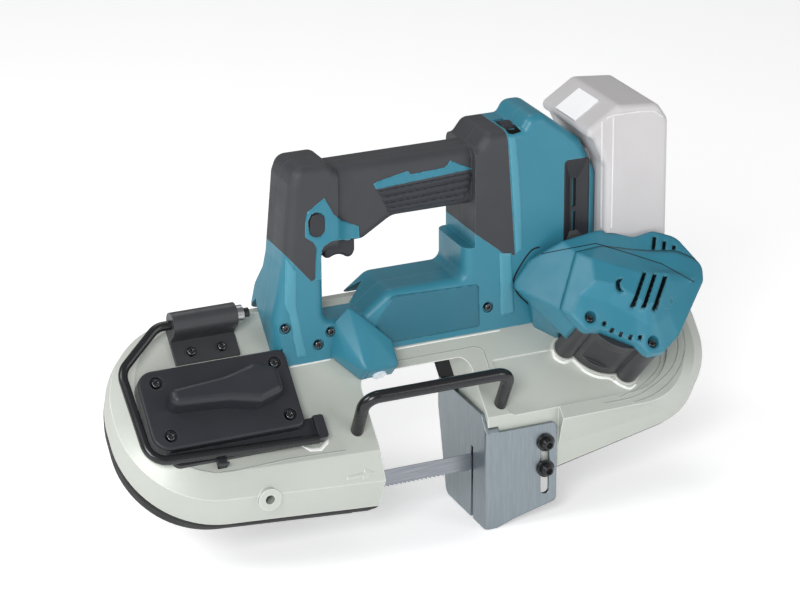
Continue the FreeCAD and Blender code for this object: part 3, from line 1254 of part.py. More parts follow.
def make_motor_covers():
    wall = lofted(MOTOR, [
        (s.cover_low, drawn("cover_wall")),
        (s.cover_shoulder, drawn("cover_wall")),
        (s.cover_seam, drawn("cover_seam")),
        (s.cover_top, drawn("cover_crown")),
    ])
    foot = lofted(MOTOR, [(s.top_lift, drawn("foot_base")), (s.cover_low + s.overrun, drawn("foot_top"))])
    across = FreeCAD.Rotation(SIDE, -number(s.slope_lean_angle))
    lean = FreeCAD.Rotation(RISE, -number(s.slope_angle)).multiply(across)
    slope = MOTOR.multiply(place(s.slope_side, s.slope_rise, s.slope_lift, lean))
    split = MOTOR.multiply(place(0, 0, s.split_lift, FreeCAD.Rotation(SIDE, number(s.split_angle))))
    body = cut(
        fuse(wall, foot),
        box(slope, -s.reach, -s.reach, 0, s.reach * 2, s.reach * 2, s.reach),
        box(BAND, -s.reach, s.shell_front - s.seat_gap, -s.reach, s.reach + s.holder_side - s.seat_gap,
            s.reach,
            s.reach * 2),
        box(BAND, s.holder_side - s.seat_gap, s.pack_middle - s.pack_half - s.seat_gap * 2, -s.reach,
            s.reach,
            s.reach, s.reach * 2),
    )
    below = fuse(
        box(MOTOR, -s.reach, -s.reach, -s.reach, s.reach * 2, s.reach * 2, s.reach + s.split_lift),
        box(split, -s.reach, 0, -s.reach, s.reach * 2, s.reach, s.reach),
    )
    top = s.rotor_high + s.motor_bearing_thick * 2
    chamber = rod(DECK, motor_side, motor_rise, s.roof_high - s.overrun, s.stator_outer,
                  top - s.motor_bearing_thick - s.roof_high + s.overrun)
    seat = rod(DECK, motor_side, motor_rise, s.roof_high, s.motor_bearing_outer, top - s.roof_high)
    bores = []
    for side, rise in cover_screws():
        bores.append(rod(MOTOR, side, rise, s.cover_seat, s.housing_screw_head + s.seat_gap, s.reach))
        bores.append(rod(MOTOR, side, rise, s.cover_low, s.housing_screw_shank + s.run_gap, s.reach))
        plastic_screws.append(screw(MOTOR, side, rise, s.cover_seat, s.housing_screw_shank,
                                    s.cover_seat - hollow_top - s.overrun, s.housing_screw_head,
                                    s.housing_screw_thick))
    slots = rows(MOTOR, s.slot_side, s.slot_rise, s.slot_step, s.slot_drop, s.slot_angle, s.slot_long,
                 s.slot_floor)
    moons = [moon(s.moon_one_side, s.moon_one_rise), moon(s.moon_two_side, s.moon_two_rise)]
    node("motor_cover_upper", cut(body, below, chamber, seat, *bores, *slots, *moons, *pores()))
    front = box(MOTOR, s.front_side, -s.reach, -s.reach, s.reach, s.reach + s.front_rise,
                s.reach + s.split_lift)
    rear_slots = rows(MOTOR, s.rear_slot_side, s.rear_slot_rise, s.rear_slot_step, s.rear_slot_drop,
                      s.rear_slot_angle, s.rear_slot_long, s.rear_slot_floor)
    node("motor_cover_lower", cut(common(body, below), front, chamber, *rear_slots,
                                  *gear_rims(s.top_lift - s.overrun, gear_floor, s.pad_rim),
                                  *gear_rims(s.top_lift - s.overrun, s.split_lift, 0)))


# Handle and body housing in two halves, each with its soft grip
def housing_posts():
    """Places of the housing's screws: side and up."""
    return [(-s.post_a_side, s.post_a_up), (-s.post_b_side, s.post_b_up), (-s.post_c_side, s.post_c_up),
            (s.post_d_side, s.post_d_up)]


def flat_at(*heights):
    """A chooser of the edges that lie flat at any of several heights."""
    tests = [at_height(height) for height in heights]
    return lambda edge: any(test(edge) for test in tests)


def oval(side, up, half, half_tall, extra):
    wide = half + extra
    tall = half_tall + extra
    return [(side - wide, up - tall, wide * ROUND_SHARE), (side + wide, up - tall, wide * ROUND_SHARE),
            (side + wide, up + tall, wide * ROUND_SHARE), (side - wide, up + tall, wide * ROUND_SHARE)]


def crosswise(side, up, half, length, height, middle=s.shell_middle):
    """A block standing across the middle of the housing, or across another middle."""
    return box(BAND, side, middle - half, up, length, half * 2, height)


def rounded_slab(name, front, back, soft, hole=None):
    """A plate between two depths, with its front and back edges rounded."""
    body = slab(FRONT, drawn(name), -back, back - front, hole)
    return soften(body, soft, flat_at(-back, -front))


def make_housing():
    depth = s.shell_back - s.shell_front
    slim = rounded_slab("whole", s.shell_front, s.post_back, s.shell_soft, drawn("opening"))
    deep = rounded_slab("whole", s.shell_front, s.shell_back, s.shell_soft, drawn("opening"))
    rear = fuse(
        box(BAND, s.ring_side, s.shell_middle, -s.reach, s.reach, s.reach, s.reach * 2),
        slab(PROFILE, [
            (s.shell_middle, -s.reach), (s.reach, -s.reach), (s.reach, s.back_step_low),
            (s.shell_back, s.back_step_low), (s.post_back - s.shell_soft, s.back_step_high),
            (s.shell_middle, s.back_step_high),
        ], -s.reach, s.reach * 2),
    )
    bar_way = box(BAND, -s.hand_left, -s.reach, s.hand_low, s.hand_left + s.hand_right, s.reach * 2,
                  s.reach)
    hand = rounded_slab("hand", s.hand_front, s.hand_back, s.hand_soft)
    whole = fuse(cut(fuse(slim, common(deep, rear)), bar_way), hand)
    region = slab(FRONT, drawn("grip"), -s.shell_back - s.overrun, depth + s.overrun * 2)
    gap = s.seat_gap
    flange = s.trigger_flange
    slot_left = -s.trigger_left - gap
    slot_long = s.trigger_left - s.trigger_right + gap * 2
    cuts = [
        throat_block(0, s.throat_round),
        box(DECK, -s.reach, -s.reach, -s.reach, s.reach * 2, s.reach + s.foot_back + gap,
            s.reach + s.top_lift),
        box(DECK, -s.reach, -s.reach, -s.reach, s.reach - s.plate_right + gap,
            s.reach + s.plate_back + gap,
            s.reach + s.top_lift + s.plate_high + gap),
        crosswise(slot_left, s.opening_low_floor, s.trigger_half + gap, slot_long,
                  s.switch_low - s.opening_low_floor),
        crosswise(slot_left - flange, s.trigger_high - s.trigger_flange_thick - gap, s.trigger_half + gap,
                  slot_long + flange * 2, s.switch_low - s.trigger_high + s.trigger_flange_thick + gap),
        crosswise(-s.switch_left, s.switch_low, s.switch_half, s.switch_left + s.switch_right,
                  s.switch_high - s.switch_low),
        slab(FRONT, oval(-s.lock_side, s.lock_up, s.lock_half, s.lock_half_tall, gap), -s.reach, s.reach),
        box(BAND, s.dial_side - gap, s.dial_back - s.dial_radius - gap, s.dial_up - s.dial_radius - gap,
            s.dial_wide + gap * 2, s.dial_radius * 2 + gap * 2, s.reach),
        rod(BAND, s.dial_side - s.dial_axle_long, s.dial_back, s.dial_up, s.dial_axle + s.run_gap,
            s.dial_wide + s.dial_axle_long * 2, "x"),
        box(BAND, s.control_left, s.control_front, s.control_low, s.control_right - s.control_left,
            s.control_back - s.control_front, s.control_high - s.control_low),
        slab(FRONT, vent_outline(), -s.shell_front - s.vent_deep, s.vent_deep + s.overrun),
        crosswise(s.holder_side - s.rail_deep, s.pack_low, s.rail_slot_half + gap,
                  s.rail_deep + s.overrun,
                  s.reach, s.pack_middle),
        crosswise(s.holder_side - s.rail_deep, s.pack_low, s.rail_half + gap, s.rail_deep / 2 + gap,
                  s.reach,
                  s.pack_middle),
    ]
    screws = []
    seat = s.shell_front + s.housing_screw_sink
    for side, up in housing_posts():
        cuts.append(rod(BAND, side, s.shell_front - s.overrun, up, s.housing_screw_head + gap,
                        s.overrun + s.housing_screw_sink, "y"))
        cuts.append(rod(BAND, side, s.shell_front, up, s.housing_screw_shank + s.run_gap,
                        s.housing_screw_length + s.housing_screw_sink + s.run_gap, "y"))
        screws.append(screw(BAND, side, seat, up, s.housing_screw_shank, s.housing_screw_length,
                            s.housing_screw_head, s.housing_screw_thick, "y", flip=True))
    ahead = box(BAND, -s.reach, -s.reach, -s.reach, s.reach * 2, s.reach + s.shell_middle, s.reach * 2)
    behind = box(BAND, -s.reach, s.shell_middle, -s.reach, s.reach * 2, s.reach, s.reach * 2)
    lamp = slab(DECK, [
        (-s.lamp_left, s.lamp_front, s.lamp_round), (s.lamp_right, s.lamp_front, s.lamp_round),
        (s.lamp_right, s.lamp_back), (-s.lamp_left, s.lamp_back),
    ], s.top_lift, s.lamp_high)
    soften(lamp, s.lamp_round / 2, at_height(s.top_lift + s.lamp_high))
    lens_side = (s.lamp_right - s.lamp_left) / 2
    lens = (lens_side, s.lamp_front - s.lens_thick / 2, s.top_lift + s.lens_lift, s.lens_radius)
    node("shell_front", cut(fuse(cut(whole, region, behind), lamp), rod(DECK, *lens, s.lens_thick, "y"),
                            *cuts))
    node("shell_rear", cut(whole, region, ahead, *cuts))
    grip = common(whole, region)
    node("grip_front", cut(grip, behind, *cuts))
    node("grip_rear", cut(grip, ahead, *cuts))
    plastic_screws.extend(screws)
    node("lamp_lens", rod(DECK, *lens, s.lens_thick, "y"))


def vent_outline():
    return [(s.vent_left, s.vent_low, s.vent_round), (s.vent_right, s.vent_low, s.vent_round),
            (s.vent_right, s.vent_high, s.vent_round), (s.vent_left, s.vent_high, s.vent_round)]


def make_controls():
    flange = s.trigger_flange
    blade = slab(FRONT, drawn("trigger"), -s.shell_middle - s.trigger_half, s.trigger_half * 2)
    soften(blade, s.trigger_edge, flat_at(-s.shell_middle - s.trigger_half,
                                          -s.shell_middle + s.trigger_half))
    bar = crosswise(-s.trigger_left - flange, s.trigger_high - s.trigger_flange_thick, s.trigger_half,
                    s.trigger_left - s.trigger_right + flange * 2, s.trigger_flange_thick)
    node("trigger", fuse(blade, bar))
    node("trigger_spring", coil(BAND, -(s.trigger_left + s.trigger_right) / 2, s.shell_middle,
                                s.trigger_high,
                                s.switch_low - s.trigger_high))
    node("switch_body", crosswise(-s.switch_left, s.switch_low, s.switch_half,
                                  s.switch_left + s.switch_right,
                                  s.switch_high - s.switch_low))
    back = s.post_back - s.lock_travel + s.lock_proud
    button = slab(FRONT, oval(-s.lock_side, s.lock_up, s.lock_half, s.lock_half_tall, 0), -back,
                  back - s.shell_front + s.lock_proud)
    node("lock_button", soften(button, s.lock_edge, flat_at(-back, s.lock_proud - s.shell_front)))
    wheel_part = rod(BAND, s.dial_side, s.dial_back, s.dial_up, s.dial_radius, s.dial_wide, "x")
    axle = rod(BAND, s.dial_side - s.dial_axle_long + s.seat_gap, s.dial_back, s.dial_up, s.dial_axle,
               s.dial_wide + (s.dial_axle_long - s.seat_gap) * 2, "x")
    notches = []
    for turn in range(DIAL_NOTCHES):
        spin = place(s.dial_side, s.dial_back, s.dial_up,
                     FreeCAD.Rotation(SIDE, 360 * turn / DIAL_NOTCHES))
        notches.append(rod(BAND.multiply(spin), -s.overrun, 0, s.dial_radius + s.dial_notch / 2,
                           s.dial_notch,
                           s.dial_wide + s.overrun * 2, "x"))
    node("speed_dial", fuse(cut(wheel_part, *notches), axle))
    node("controller", box(BAND, s.control_left, s.control_front, s.control_low,
                           s.control_right - s.control_left,
                           s.control_back - s.control_front, s.control_high - s.control_low))
    insert = slab(FRONT, vent_outline(), -s.shell_front - s.vent_deep, s.vent_deep - s.vent_sink)
    middle = (s.vent_left + s.vent_right) / 2
    edge = s.vent_edge
    funnel = lofted(FRONT, [
        (-s.shell_front - s.vent_deep + s.vent_edge, [
            (middle - s.vent_throat, s.vent_low + s.vent_throat_low),
            (middle + s.vent_throat, s.vent_low + s.vent_throat_low),
            (middle + s.vent_throat, s.vent_high - s.vent_throat_high),
            (middle - s.vent_throat, s.vent_high - s.vent_throat_high)]),
        (-s.shell_front - s.vent_sink, [
            (s.vent_left + edge, s.vent_low + edge), (s.vent_right - edge, s.vent_low + edge),
            (s.vent_right - edge, s.vent_high - edge), (s.vent_left + edge, s.vent_high - edge)]),
    ])
    slot = box(BAND, middle - s.vent_throat / 2, s.shell_front, s.vent_low + s.vent_throat_low,
               s.vent_throat,
               s.vent_deep + s.overrun, s.vent_high - s.vent_low - s.vent_throat_low - s.vent_throat_high)
    rib = box(BAND, middle - s.vent_throat / 2, s.shell_front + s.vent_deep - s.vent_edge, s.vent_rib_up,
              s.vent_throat, s.vent_edge, s.vent_rib)
    node("vent_insert", cut(insert, funnel, cut(slot, rib)))


DIAL_NOTCHES = 24


# Battery pack on its upright rails
def make_battery():
    gap = s.seat_gap
    face = s.holder_side + gap
    middle = s.pack_middle
    front = middle - s.pack_half
    back = middle + s.pack_half
    corners = [(face + side, up, corner) for side, up, corner in drawn("pack")]
    case = soften(slab(FRONT, corners, -back, back - front), s.pack_soft, flat_at(-back, -front))
    tongue_low = s.pack_low + gap
    tongue_high = s.rail_high - tongue_low
    neck = crosswise(face - s.rail_deep, tongue_low, s.rail_slot_half, s.rail_deep + s.pack_soft,
                     tongue_high, middle)
    rail = crosswise(face - s.rail_deep, tongue_low, s.rail_half, s.rail_deep / 2 - gap, tongue_high,
                     middle)
    slot = crosswise(face - s.rail_deep - s.overrun, tongue_low - s.overrun, s.terminal_half + gap,
                     s.overrun + s.terminal_thick + gap, s.terminal_high + s.overrun + gap, middle)
    ramp = BAND.multiply(place(face + s.button_side, middle, s.button_up,
                               FreeCAD.Rotation(RISE, -number(s.button_slope_angle))))
    pocket = box(ramp, -s.button_long - gap, -s.button_half - gap, -s.button_deep,
                 s.button_long * 2 + gap * 2,
                 s.button_half * 2 + gap * 2, s.reach)
    node("battery_case", cut(fuse(case, neck, rail), slot, pocket))
    low = s.button_travel + gap - s.button_deep
    node("battery_button", box(ramp, -s.button_long, -s.button_half, low, s.button_long * 2,
                               s.button_half * 2,
                               s.button_proud - low))
    node("terminal_block", crosswise(s.holder_side - s.rail_deep, s.pack_low, s.terminal_half,
                                     s.terminal_thick,
                                     s.terminal_high, middle))


make_deck()
make_guard()
make_drive()
make_idler()
make_tension_slide()
make_tension_cover()
make_tension_lever()
make_band()
make_guides()
make_stopper()
make_bar()
make_hook()
make_gears()
make_gear_housing()
make_motor()
make_motor_covers()
make_housing()
make_controls()
make_battery()
node("casting_screws", group(*casting_screws))
node("housing_screws", group(*plastic_screws))

# Every feature has to be sound before the pieces are written
doc.recompute()
for item in doc.Objects:
    if "Invalid" in item.State or "Error" in item.State:
        raise RuntimeError(f"{item.Name} is not sound: {item.State}")
os.makedirs("parts", exist_ok=True)
for item in nodes:
    if item.Shape.isNull() or not item.Shape.isValid():
        raise RuntimeError(f"{item.Label} has no sound shape")
    item.Shape.exportStep(f"parts/{item.Label}.step")
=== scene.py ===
import json
import math

import bmesh
import bpy
from mathutils import Matrix, Vector
from mathutils.bvhtree import BVHTree
from mathutils.geometry import delaunay_2d_cdt


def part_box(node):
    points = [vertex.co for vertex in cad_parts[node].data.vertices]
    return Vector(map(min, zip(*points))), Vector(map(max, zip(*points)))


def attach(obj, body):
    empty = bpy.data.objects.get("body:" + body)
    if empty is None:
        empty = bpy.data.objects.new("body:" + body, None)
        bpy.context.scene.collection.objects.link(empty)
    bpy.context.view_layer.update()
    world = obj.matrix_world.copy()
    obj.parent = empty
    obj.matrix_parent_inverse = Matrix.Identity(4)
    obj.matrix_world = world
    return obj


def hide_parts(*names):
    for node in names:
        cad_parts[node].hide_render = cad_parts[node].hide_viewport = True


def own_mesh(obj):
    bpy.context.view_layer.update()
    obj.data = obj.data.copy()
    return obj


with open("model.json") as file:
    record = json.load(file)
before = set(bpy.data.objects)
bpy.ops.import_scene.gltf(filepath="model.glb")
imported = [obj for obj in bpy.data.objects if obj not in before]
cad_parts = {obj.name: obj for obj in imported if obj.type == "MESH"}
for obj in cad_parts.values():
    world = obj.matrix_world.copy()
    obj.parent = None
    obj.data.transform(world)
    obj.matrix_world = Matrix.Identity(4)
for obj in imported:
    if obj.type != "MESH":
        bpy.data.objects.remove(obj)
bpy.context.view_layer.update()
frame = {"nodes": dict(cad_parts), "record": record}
nodes = frame["nodes"]

# Finishes: the levels at which a noise counts as low and high, and the samples of a rounded edge
NOISE_LOW = 0.3
NOISE_HIGH = 0.7
EDGE_SAMPLES = 6

# The sockets of a mix of two colours
MIX_SHARE = 0
MIX_FIRST = 6
MIX_SECOND = 7
MIX_RESULT = 2


class Look:
    """A material in the making: nodes are added one after another and wired to its shader."""

    def __init__(self, name):
        self.material = bpy.data.materials.new(name)
        self.material.use_nodes = True
        self.tree = self.material.node_tree
        self.shader = self.tree.nodes["Principled BSDF"]
        self.place = self.add("ShaderNodeTexCoord").outputs["Object"]

    def add(self, kind, inputs=None, **settings):
        node = self.tree.nodes.new(kind)
        for name, value in settings.items():
            setattr(node, name, value)
        for name, value in (inputs or {}).items():
            self.feed(node.inputs[name], value)
        return node

    def feed(self, socket, value):
        if isinstance(value, bpy.types.NodeSocket):
            self.tree.links.new(value, socket)
        else:
            socket.default_value = value

    def noise(self, scale, detail=3.0, rough=0.5, place=None):
        inputs = {"Vector": place or self.place, "Scale": scale, "Detail": detail, "Roughness": rough}
        return self.add("ShaderNodeTexNoise", inputs).outputs["Fac"]

    def stretched(self, scale):
        return self.add("ShaderNodeMapping", {"Vector": self.place, "Scale": scale}).outputs["Vector"]

    def span(self, value, low, high, start=0.0, end=1.0):
        """A value carried from one range to another."""
        inputs = {"Value": value, "From Min": low, "From Max": high, "To Min": start, "To Max": end}
        return self.add("ShaderNodeMapRange", inputs).outputs["Result"]

    def blend(self, share, first, second):
        mix = self.add("ShaderNodeMix", data_type="RGBA")
        for socket, value in ((MIX_SHARE, share), (MIX_FIRST, first), (MIX_SECOND, second)):
            self.feed(mix.inputs[socket], value)
        return mix.outputs[MIX_RESULT]

    def mottled(self, noise, colour, shade):
        """A colour that drifts into its shade with a noise."""
        return self.blend(self.span(noise, NOISE_LOW, NOISE_HIGH), colour, shade)

    def gloss(self, noise, low, rough, smoother, rougher):
        """A roughness that drifts about its middle value with a noise."""
        return self.span(noise, low, 1.0 - low, rough - smoother, rough + rougher)

    def rounded(self, radius):
        return self.add("ShaderNodeBevel", {"Radius": radius}, samples=EDGE_SAMPLES).outputs["Normal"]

    def edges(self, radius, low, high):
        """How far a place lies on an edge, from the way the surface turns within a radius."""
        plain = self.add("ShaderNodeNewGeometry").outputs["Normal"]
        inputs = {0: self.rounded(radius), 1: plain}
        same = self.add("ShaderNodeVectorMath", inputs, operation="DOT_PRODUCT").outputs["Value"]
        return self.span(same, high, low)

    def relief(self, height, strength, depth, edge):
        """Bump from a height, over edges rounded by a small radius."""
        inputs = {"Height": height, "Strength": strength, "Distance": depth, "Normal": self.rounded(edge)}
        self.feed(self.shader.inputs["Normal"], self.add("ShaderNodeBump", inputs).outputs["Normal"])

    def finish(self, **values):
        for name, value in values.items():
            self.feed(self.shader.inputs[name.replace("_", " ")], value)
        return self.material


# The curve between a colour on a screen and its light
SCREEN_START = 0.04045
SCREEN_SLOPE = 12.92
SCREEN_SHIFT = 0.055
SCREEN_POWER = 2.4
SCREEN_FULL = 255


def tone(red, green, blue):
    """A colour given as it shows on a screen, from 0 to 255."""
    parts = []
    for part in (red, green, blue):
        share = part / SCREEN_FULL
        if share <= SCREEN_START:
            parts.append(share / SCREEN_SLOPE)
        else:
            parts.append(((share + SCREEN_SHIFT) / (1 + SCREEN_SHIFT)) ** SCREEN_POWER)
    return (*parts, 1.0)


def moulded(name, colour, shade, rough, grain=1500.0, depth=0.00012, edge=0.0004, wear=None, sheen=0.35):
    """Moulded plastic: eroded grain, slight mottling, handling gloss and paler edges."""
    look = Look(name)
    body = look.mottled(look.noise(scale=26.0, detail=4.0), colour, shade)
    if wear:
        edge_mask = look.edges(radius=0.0009, low=0.86, high=0.99)
        patches = look.span(look.noise(scale=190.0), low=0.35, high=0.65, start=0.15, end=0.6)
        rub = look.add("ShaderNodeMath", {0: edge_mask, 1: patches}, operation="MULTIPLY").outputs[0]
        body = look.blend(rub, body, wear)
    look.relief(look.noise(scale=grain, detail=2.0), strength=0.35, depth=depth, edge=edge)
    handled = look.noise(scale=75.0, detail=5.0)
    gloss = look.gloss(handled, low=0.25, rough=rough, smoother=0.06, rougher=0.08)
    return look.finish(Base_Color=body, Roughness=gloss, Metallic=0.0, Specular_IOR_Level=sheen)


def cast_metal(name, colour, shade, rough, metal, bright=tone(236, 240, 236)):
    """Lacquered casting: blasted pebble grain, faint flow mottling and edges brightened with a painted
    highlight.
    """
    look = Look(name)
    body = look.mottled(look.noise(scale=14.0, detail=5.0), colour, shade)
    specks = look.span(look.noise(scale=2400.0, detail=1.0), low=0.62, high=0.78, end=0.25)
    body = look.blend(specks, body, bright)
    # Painted highlight: the edges blend most of the way to the bright tone, which also colours the specks.
    edge_mask = look.edges(radius=0.0012, low=0.84, high=0.99)
    body = look.blend(look.span(edge_mask, low=0.0, high=1.0, end=0.75), body, bright)
    pebble = look.noise(scale=1100.0, detail=3.0, rough=0.6)
    look.relief(pebble, strength=0.4, depth=0.00016, edge=0.0008)
    flow = look.noise(scale=45.0, detail=4.0)
    gloss = look.gloss(flow, low=0.25, rough=rough, smoother=0.05, rougher=0.07)
    return look.finish(Base_Color=body, Roughness=gloss, Metallic=metal)


def drawn_steel(name, colour, shade, rough, along, edge=0.0003):
    """Rolled or ground steel: fine lines along the work and cloudy oxide."""
    look = Look(name)
    lines = look.noise(scale=1.0, detail=4.0, rough=0.6, place=look.stretched(along))
    body = look.mottled(lines, colour, shade)
    oxide = look.span(look.noise(scale=60.0, detail=4.0), low=0.55, high=0.8, end=0.3)
    body = look.blend(oxide, body, shade)
    look.relief(lines, strength=0.25, depth=0.00006, edge=edge)
    gloss = look.gloss(lines, low=0.2, rough=rough, smoother=0.08, rougher=0.1)
    return look.finish(Base_Color=body, Roughness=gloss, Metallic=1.0)


def coated_steel(name, colour, shade, rough, bare=tone(120, 120, 122)):
    """Coated steel: slight orange peel, cloudy gloss and bare metal where it rubs."""
    look = Look(name)
    cloud = look.noise(scale=80.0, detail=4.0)
    body = look.mottled(cloud, colour, shade)
    edge_mask = look.edges(radius=0.0005, low=0.6, high=0.9)
    body = look.blend(look.span(edge_mask, low=0.0, high=1.0, end=0.3), body, bare)
    look.relief(look.noise(scale=650.0, detail=2.0), strength=0.2, depth=0.00005, edge=0.0004)
    gloss = look.gloss(cloud, low=0.2, rough=rough, smoother=0.07, rougher=0.07)
    return look.finish(Base_Color=body, Roughness=gloss, Metallic=0.15)


def glass(name, colour, shade):
    """Clear plastic with a rippled face."""
    look = Look(name)
    ripple = look.noise(scale=420.0, detail=1.0)
    look.relief(ripple, strength=0.2, depth=0.0002, edge=0.0004)
    body = look.mottled(look.noise(scale=90.0), colour, shade)
    gloss = look.span(ripple, NOISE_LOW, NOISE_HIGH, start=0.04, end=0.12)
    return look.finish(Base_Color=body, Roughness=gloss, IOR=1.49)


TEAL = moulded("teal_housing", tone(51, 122, 142), tone(48, 117, 137), rough=0.36, wear=tone(116, 176, 190))
TEAL_COVER = moulded("teal_cover", tone(49, 121, 142), tone(46, 116, 137), rough=0.34, edge=0.0035,
                     wear=tone(116, 176, 190))
TEAL_TRIM = moulded("teal_trim", tone(47, 119, 139), tone(44, 114, 134), rough=0.34,
                    wear=tone(126, 184, 196))
# Paler teal for facets and rims where the housing catches the light: a painted highlight
TEAL_HIGHLIGHT = moulded("teal_painted_highlight", tone(72, 140, 159), tone(68, 135, 154), rough=0.34,
                    wear=tone(136, 190, 202))
# Darker teal for the recessed panel under the handle's opening: painted shade
TEAL_SHADED = moulded("teal_painted_shade", tone(40, 103, 121), tone(37, 98, 116), rough=0.36,
                    wear=tone(96, 160, 176))
GRIP = moulded("soft_grip", tone(60, 61, 65), tone(55, 56, 60), rough=0.56, grain=2600.0, depth=0.0002,
               edge=0.0006, wear=tone(104, 106, 110))
PAD = moulded("ribbed_pad", tone(46, 49, 54), tone(41, 44, 49), rough=0.5, grain=2600.0, depth=0.0002,
              edge=0.0005, wear=tone(84, 88, 94))
CHARCOAL = moulded("charcoal_moulding", tone(43, 44, 49), tone(40, 41, 46), rough=0.4,
                   wear=tone(86, 88, 94))
GUARD = moulded("black_guard", tone(16, 17, 18), tone(14, 15, 16), rough=0.55,
                wear=tone(40, 41, 43), sheen=0.08)
# Near black for painted shade in slots and vents, and for dark joint lines
SHADE_AND_JOINT = moulded("painted_shade_and_dark_joint", tone(20, 26, 29), tone(16, 21, 24), rough=0.6)
RUBBER = moulded("tyre_rubber", tone(34, 34, 35), tone(26, 26, 27), rough=0.75, grain=900.0, depth=0.0003)
PACK = moulded("pale_pack", tone(192, 190, 191), tone(187, 185, 186), rough=0.46, grain=1300.0, edge=0.0006,
               wear=tone(226, 225, 226))
# Paler pack plastic for the creases and the lid line: a painted highlight
PACK_HIGHLIGHT = moulded("pack_painted_highlight", tone(216, 215, 216), tone(211, 210, 211), rough=0.4, grain=1300.0)
PACK_WHITE = moulded("pale_button", tone(246, 246, 247), tone(242, 242, 244), rough=0.45)
# Castings: each bright tone colours the specks and the painted highlight along the edges
CASTING = cast_metal("silver_casting", tone(186, 190, 183), tone(180, 185, 177), rough=0.42, metal=0.24,
                     bright=tone(244, 246, 243))
# Darker casting for lines along the deck's grooves and edges: painted shade
CASTING_GROOVE_SHADE = cast_metal("casting_painted_groove_shade", tone(148, 154, 147), tone(140, 146, 139), rough=0.5, metal=0.25)
# Near white casting for rims along the seats: a painted highlight
CASTING_HIGHLIGHT_RIM = cast_metal("painted_highlight_rim", tone(236, 238, 235), tone(228, 231, 227), rough=0.3, metal=0.2,
                         bright=tone(250, 250, 250))
GEAR_CASE = cast_metal("black_gear_case", tone(46, 47, 51), tone(41, 42, 46), rough=0.38, metal=0.1,
                       bright=tone(92, 94, 98))
WHEEL = cast_metal("wheel_casting", tone(170, 172, 172), tone(150, 152, 154), rough=0.42, metal=0.8)
STEEL = drawn_steel("ground_steel", tone(186, 188, 188), tone(150, 152, 154), rough=0.3,
                    along=(40.0, 2200.0, 2200.0))
BAND = drawn_steel("saw_band_steel", tone(160, 164, 170), tone(126, 130, 138), rough=0.34,
                   along=(30.0, 1800.0, 1800.0))
ZINC = drawn_steel("zinc_plate", tone(146, 155, 160), tone(134, 144, 150), rough=0.34,
                   along=(1500.0, 1500.0, 60.0), edge=0.0012)
SOCKET = drawn_steel("socket_screw", tone(104, 105, 108), tone(76, 77, 80), rough=0.26,
                     along=(900.0, 900.0, 900.0))
BLACK_STEEL = coated_steel("black_coated_steel", tone(33, 34, 36), tone(28, 29, 31), rough=0.25)
GREY_STEEL = coated_steel("grey_coated_steel", tone(58, 60, 63), tone(52, 54, 57), rough=0.4)
LENS = glass("lamp_glass", tone(236, 242, 246), tone(214, 226, 234))

# The finish of each material slot, and of the nodes that differ from their slot
FINISHES = {
    "casting": CASTING, "guard": GUARD, "teal": TEAL, "elastomer": GRIP, "charcoal": CHARCOAL,
    "gear_case": GEAR_CASE, "black_steel": BLACK_STEEL, "steel": STEEL, "zinc": ZINC, "wheel_metal": WHEEL,
    "wheel_rubber": RUBBER, "lens": LENS, "pack_plastic": PACK,
}
OWN_FINISHES = {
    "saw_band": BAND, "battery_button": PACK_WHITE, "motor_cover_lower": TEAL_COVER,
    "motor_cover_upper": TEAL_COVER, "hook_holder": GREY_STEEL, "hook_nut": STEEL,
}
for part in frame["record"]["subparts"]:
    mesh = nodes[part["node"]].data
    mesh.materials.clear()
    mesh.materials.append(OWN_FINISHES.get(part["node"], FINISHES[part["material_slot"]]))

# The camera of the picture: its lens and sensor in mm, its place in m and its angles in degrees
LENS_LENGTH = 135.0
SENSOR = 36.0
PICTURE_WIDE = 800.0
PICTURE_TALL = 600.0
EYE = Vector((-0.76916, -1.75348, 0.95177))
EYE_TURN = math.radians(-23.35)
EYE_DIP = math.radians(22.4)
EYE_ROLL = math.radians(-0.38)

BACK = Vector((math.sin(EYE_TURN) * math.cos(EYE_DIP), -math.cos(EYE_TURN) * math.cos(EYE_DIP),
               math.sin(EYE_DIP)))
LEVEL = Vector((math.cos(EYE_TURN), math.sin(EYE_TURN), 0.0))
STEEP = BACK.cross(LEVEL)
RIGHT = LEVEL * math.cos(EYE_ROLL) + STEEP * math.sin(EYE_ROLL)
UP = STEEP * math.cos(EYE_ROLL) - LEVEL * math.sin(EYE_ROLL)


def sight(across, down):
    """The direction from the camera through a place in the picture."""
    share = SENSOR / LENS_LENGTH / PICTURE_WIDE
    aside = RIGHT * (across - PICTURE_WIDE / 2) * share
    below = UP * (down - PICTURE_TALL / 2) * share
    return (aside - below - BACK).normalized()


# The band's frame in the world, and the deck's top in the deck's frame, which leans by half a right angle
ORIGIN = Vector((-0.033, -0.024042, 0.0436))
DECK_TOP = 0.0435


def on_deck(side, rise, lift):
    """A place on the deck: along the band, up the slope and above the deck's top."""
    high = DECK_TOP + lift
    return ORIGIN + Vector((side, (rise - high) / math.sqrt(2), (rise + high) / math.sqrt(2)))


def at_back(across, down, back):
    """The place that shows at a spot of the picture and lies a given way behind the band."""
    way = sight(across, down)
    return EYE + way * ((ORIGIN.y + back - EYE.y) / way.y)


class Ground:
    """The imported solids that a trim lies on."""

    def __init__(self, *names):
        places = []
        faces = []
        for name in names:
            mesh = nodes[name].data
            start = len(places)
            places.extend(vertex.co.copy() for vertex in mesh.vertices)
            faces.extend([start + index for index in face.vertices] for face in mesh.polygons)
        self.tree = BVHTree.FromPolygons(places, faces)

    def under(self, across, down):
        """Where the sight through a place of the picture meets the ground, and the normal there."""
        place, normal, _, _ = self.tree.ray_cast(EYE, sight(across, down))
        if place is None:
            return None
        if normal.dot(BACK) < 0:
            normal = -normal
        return place, normal


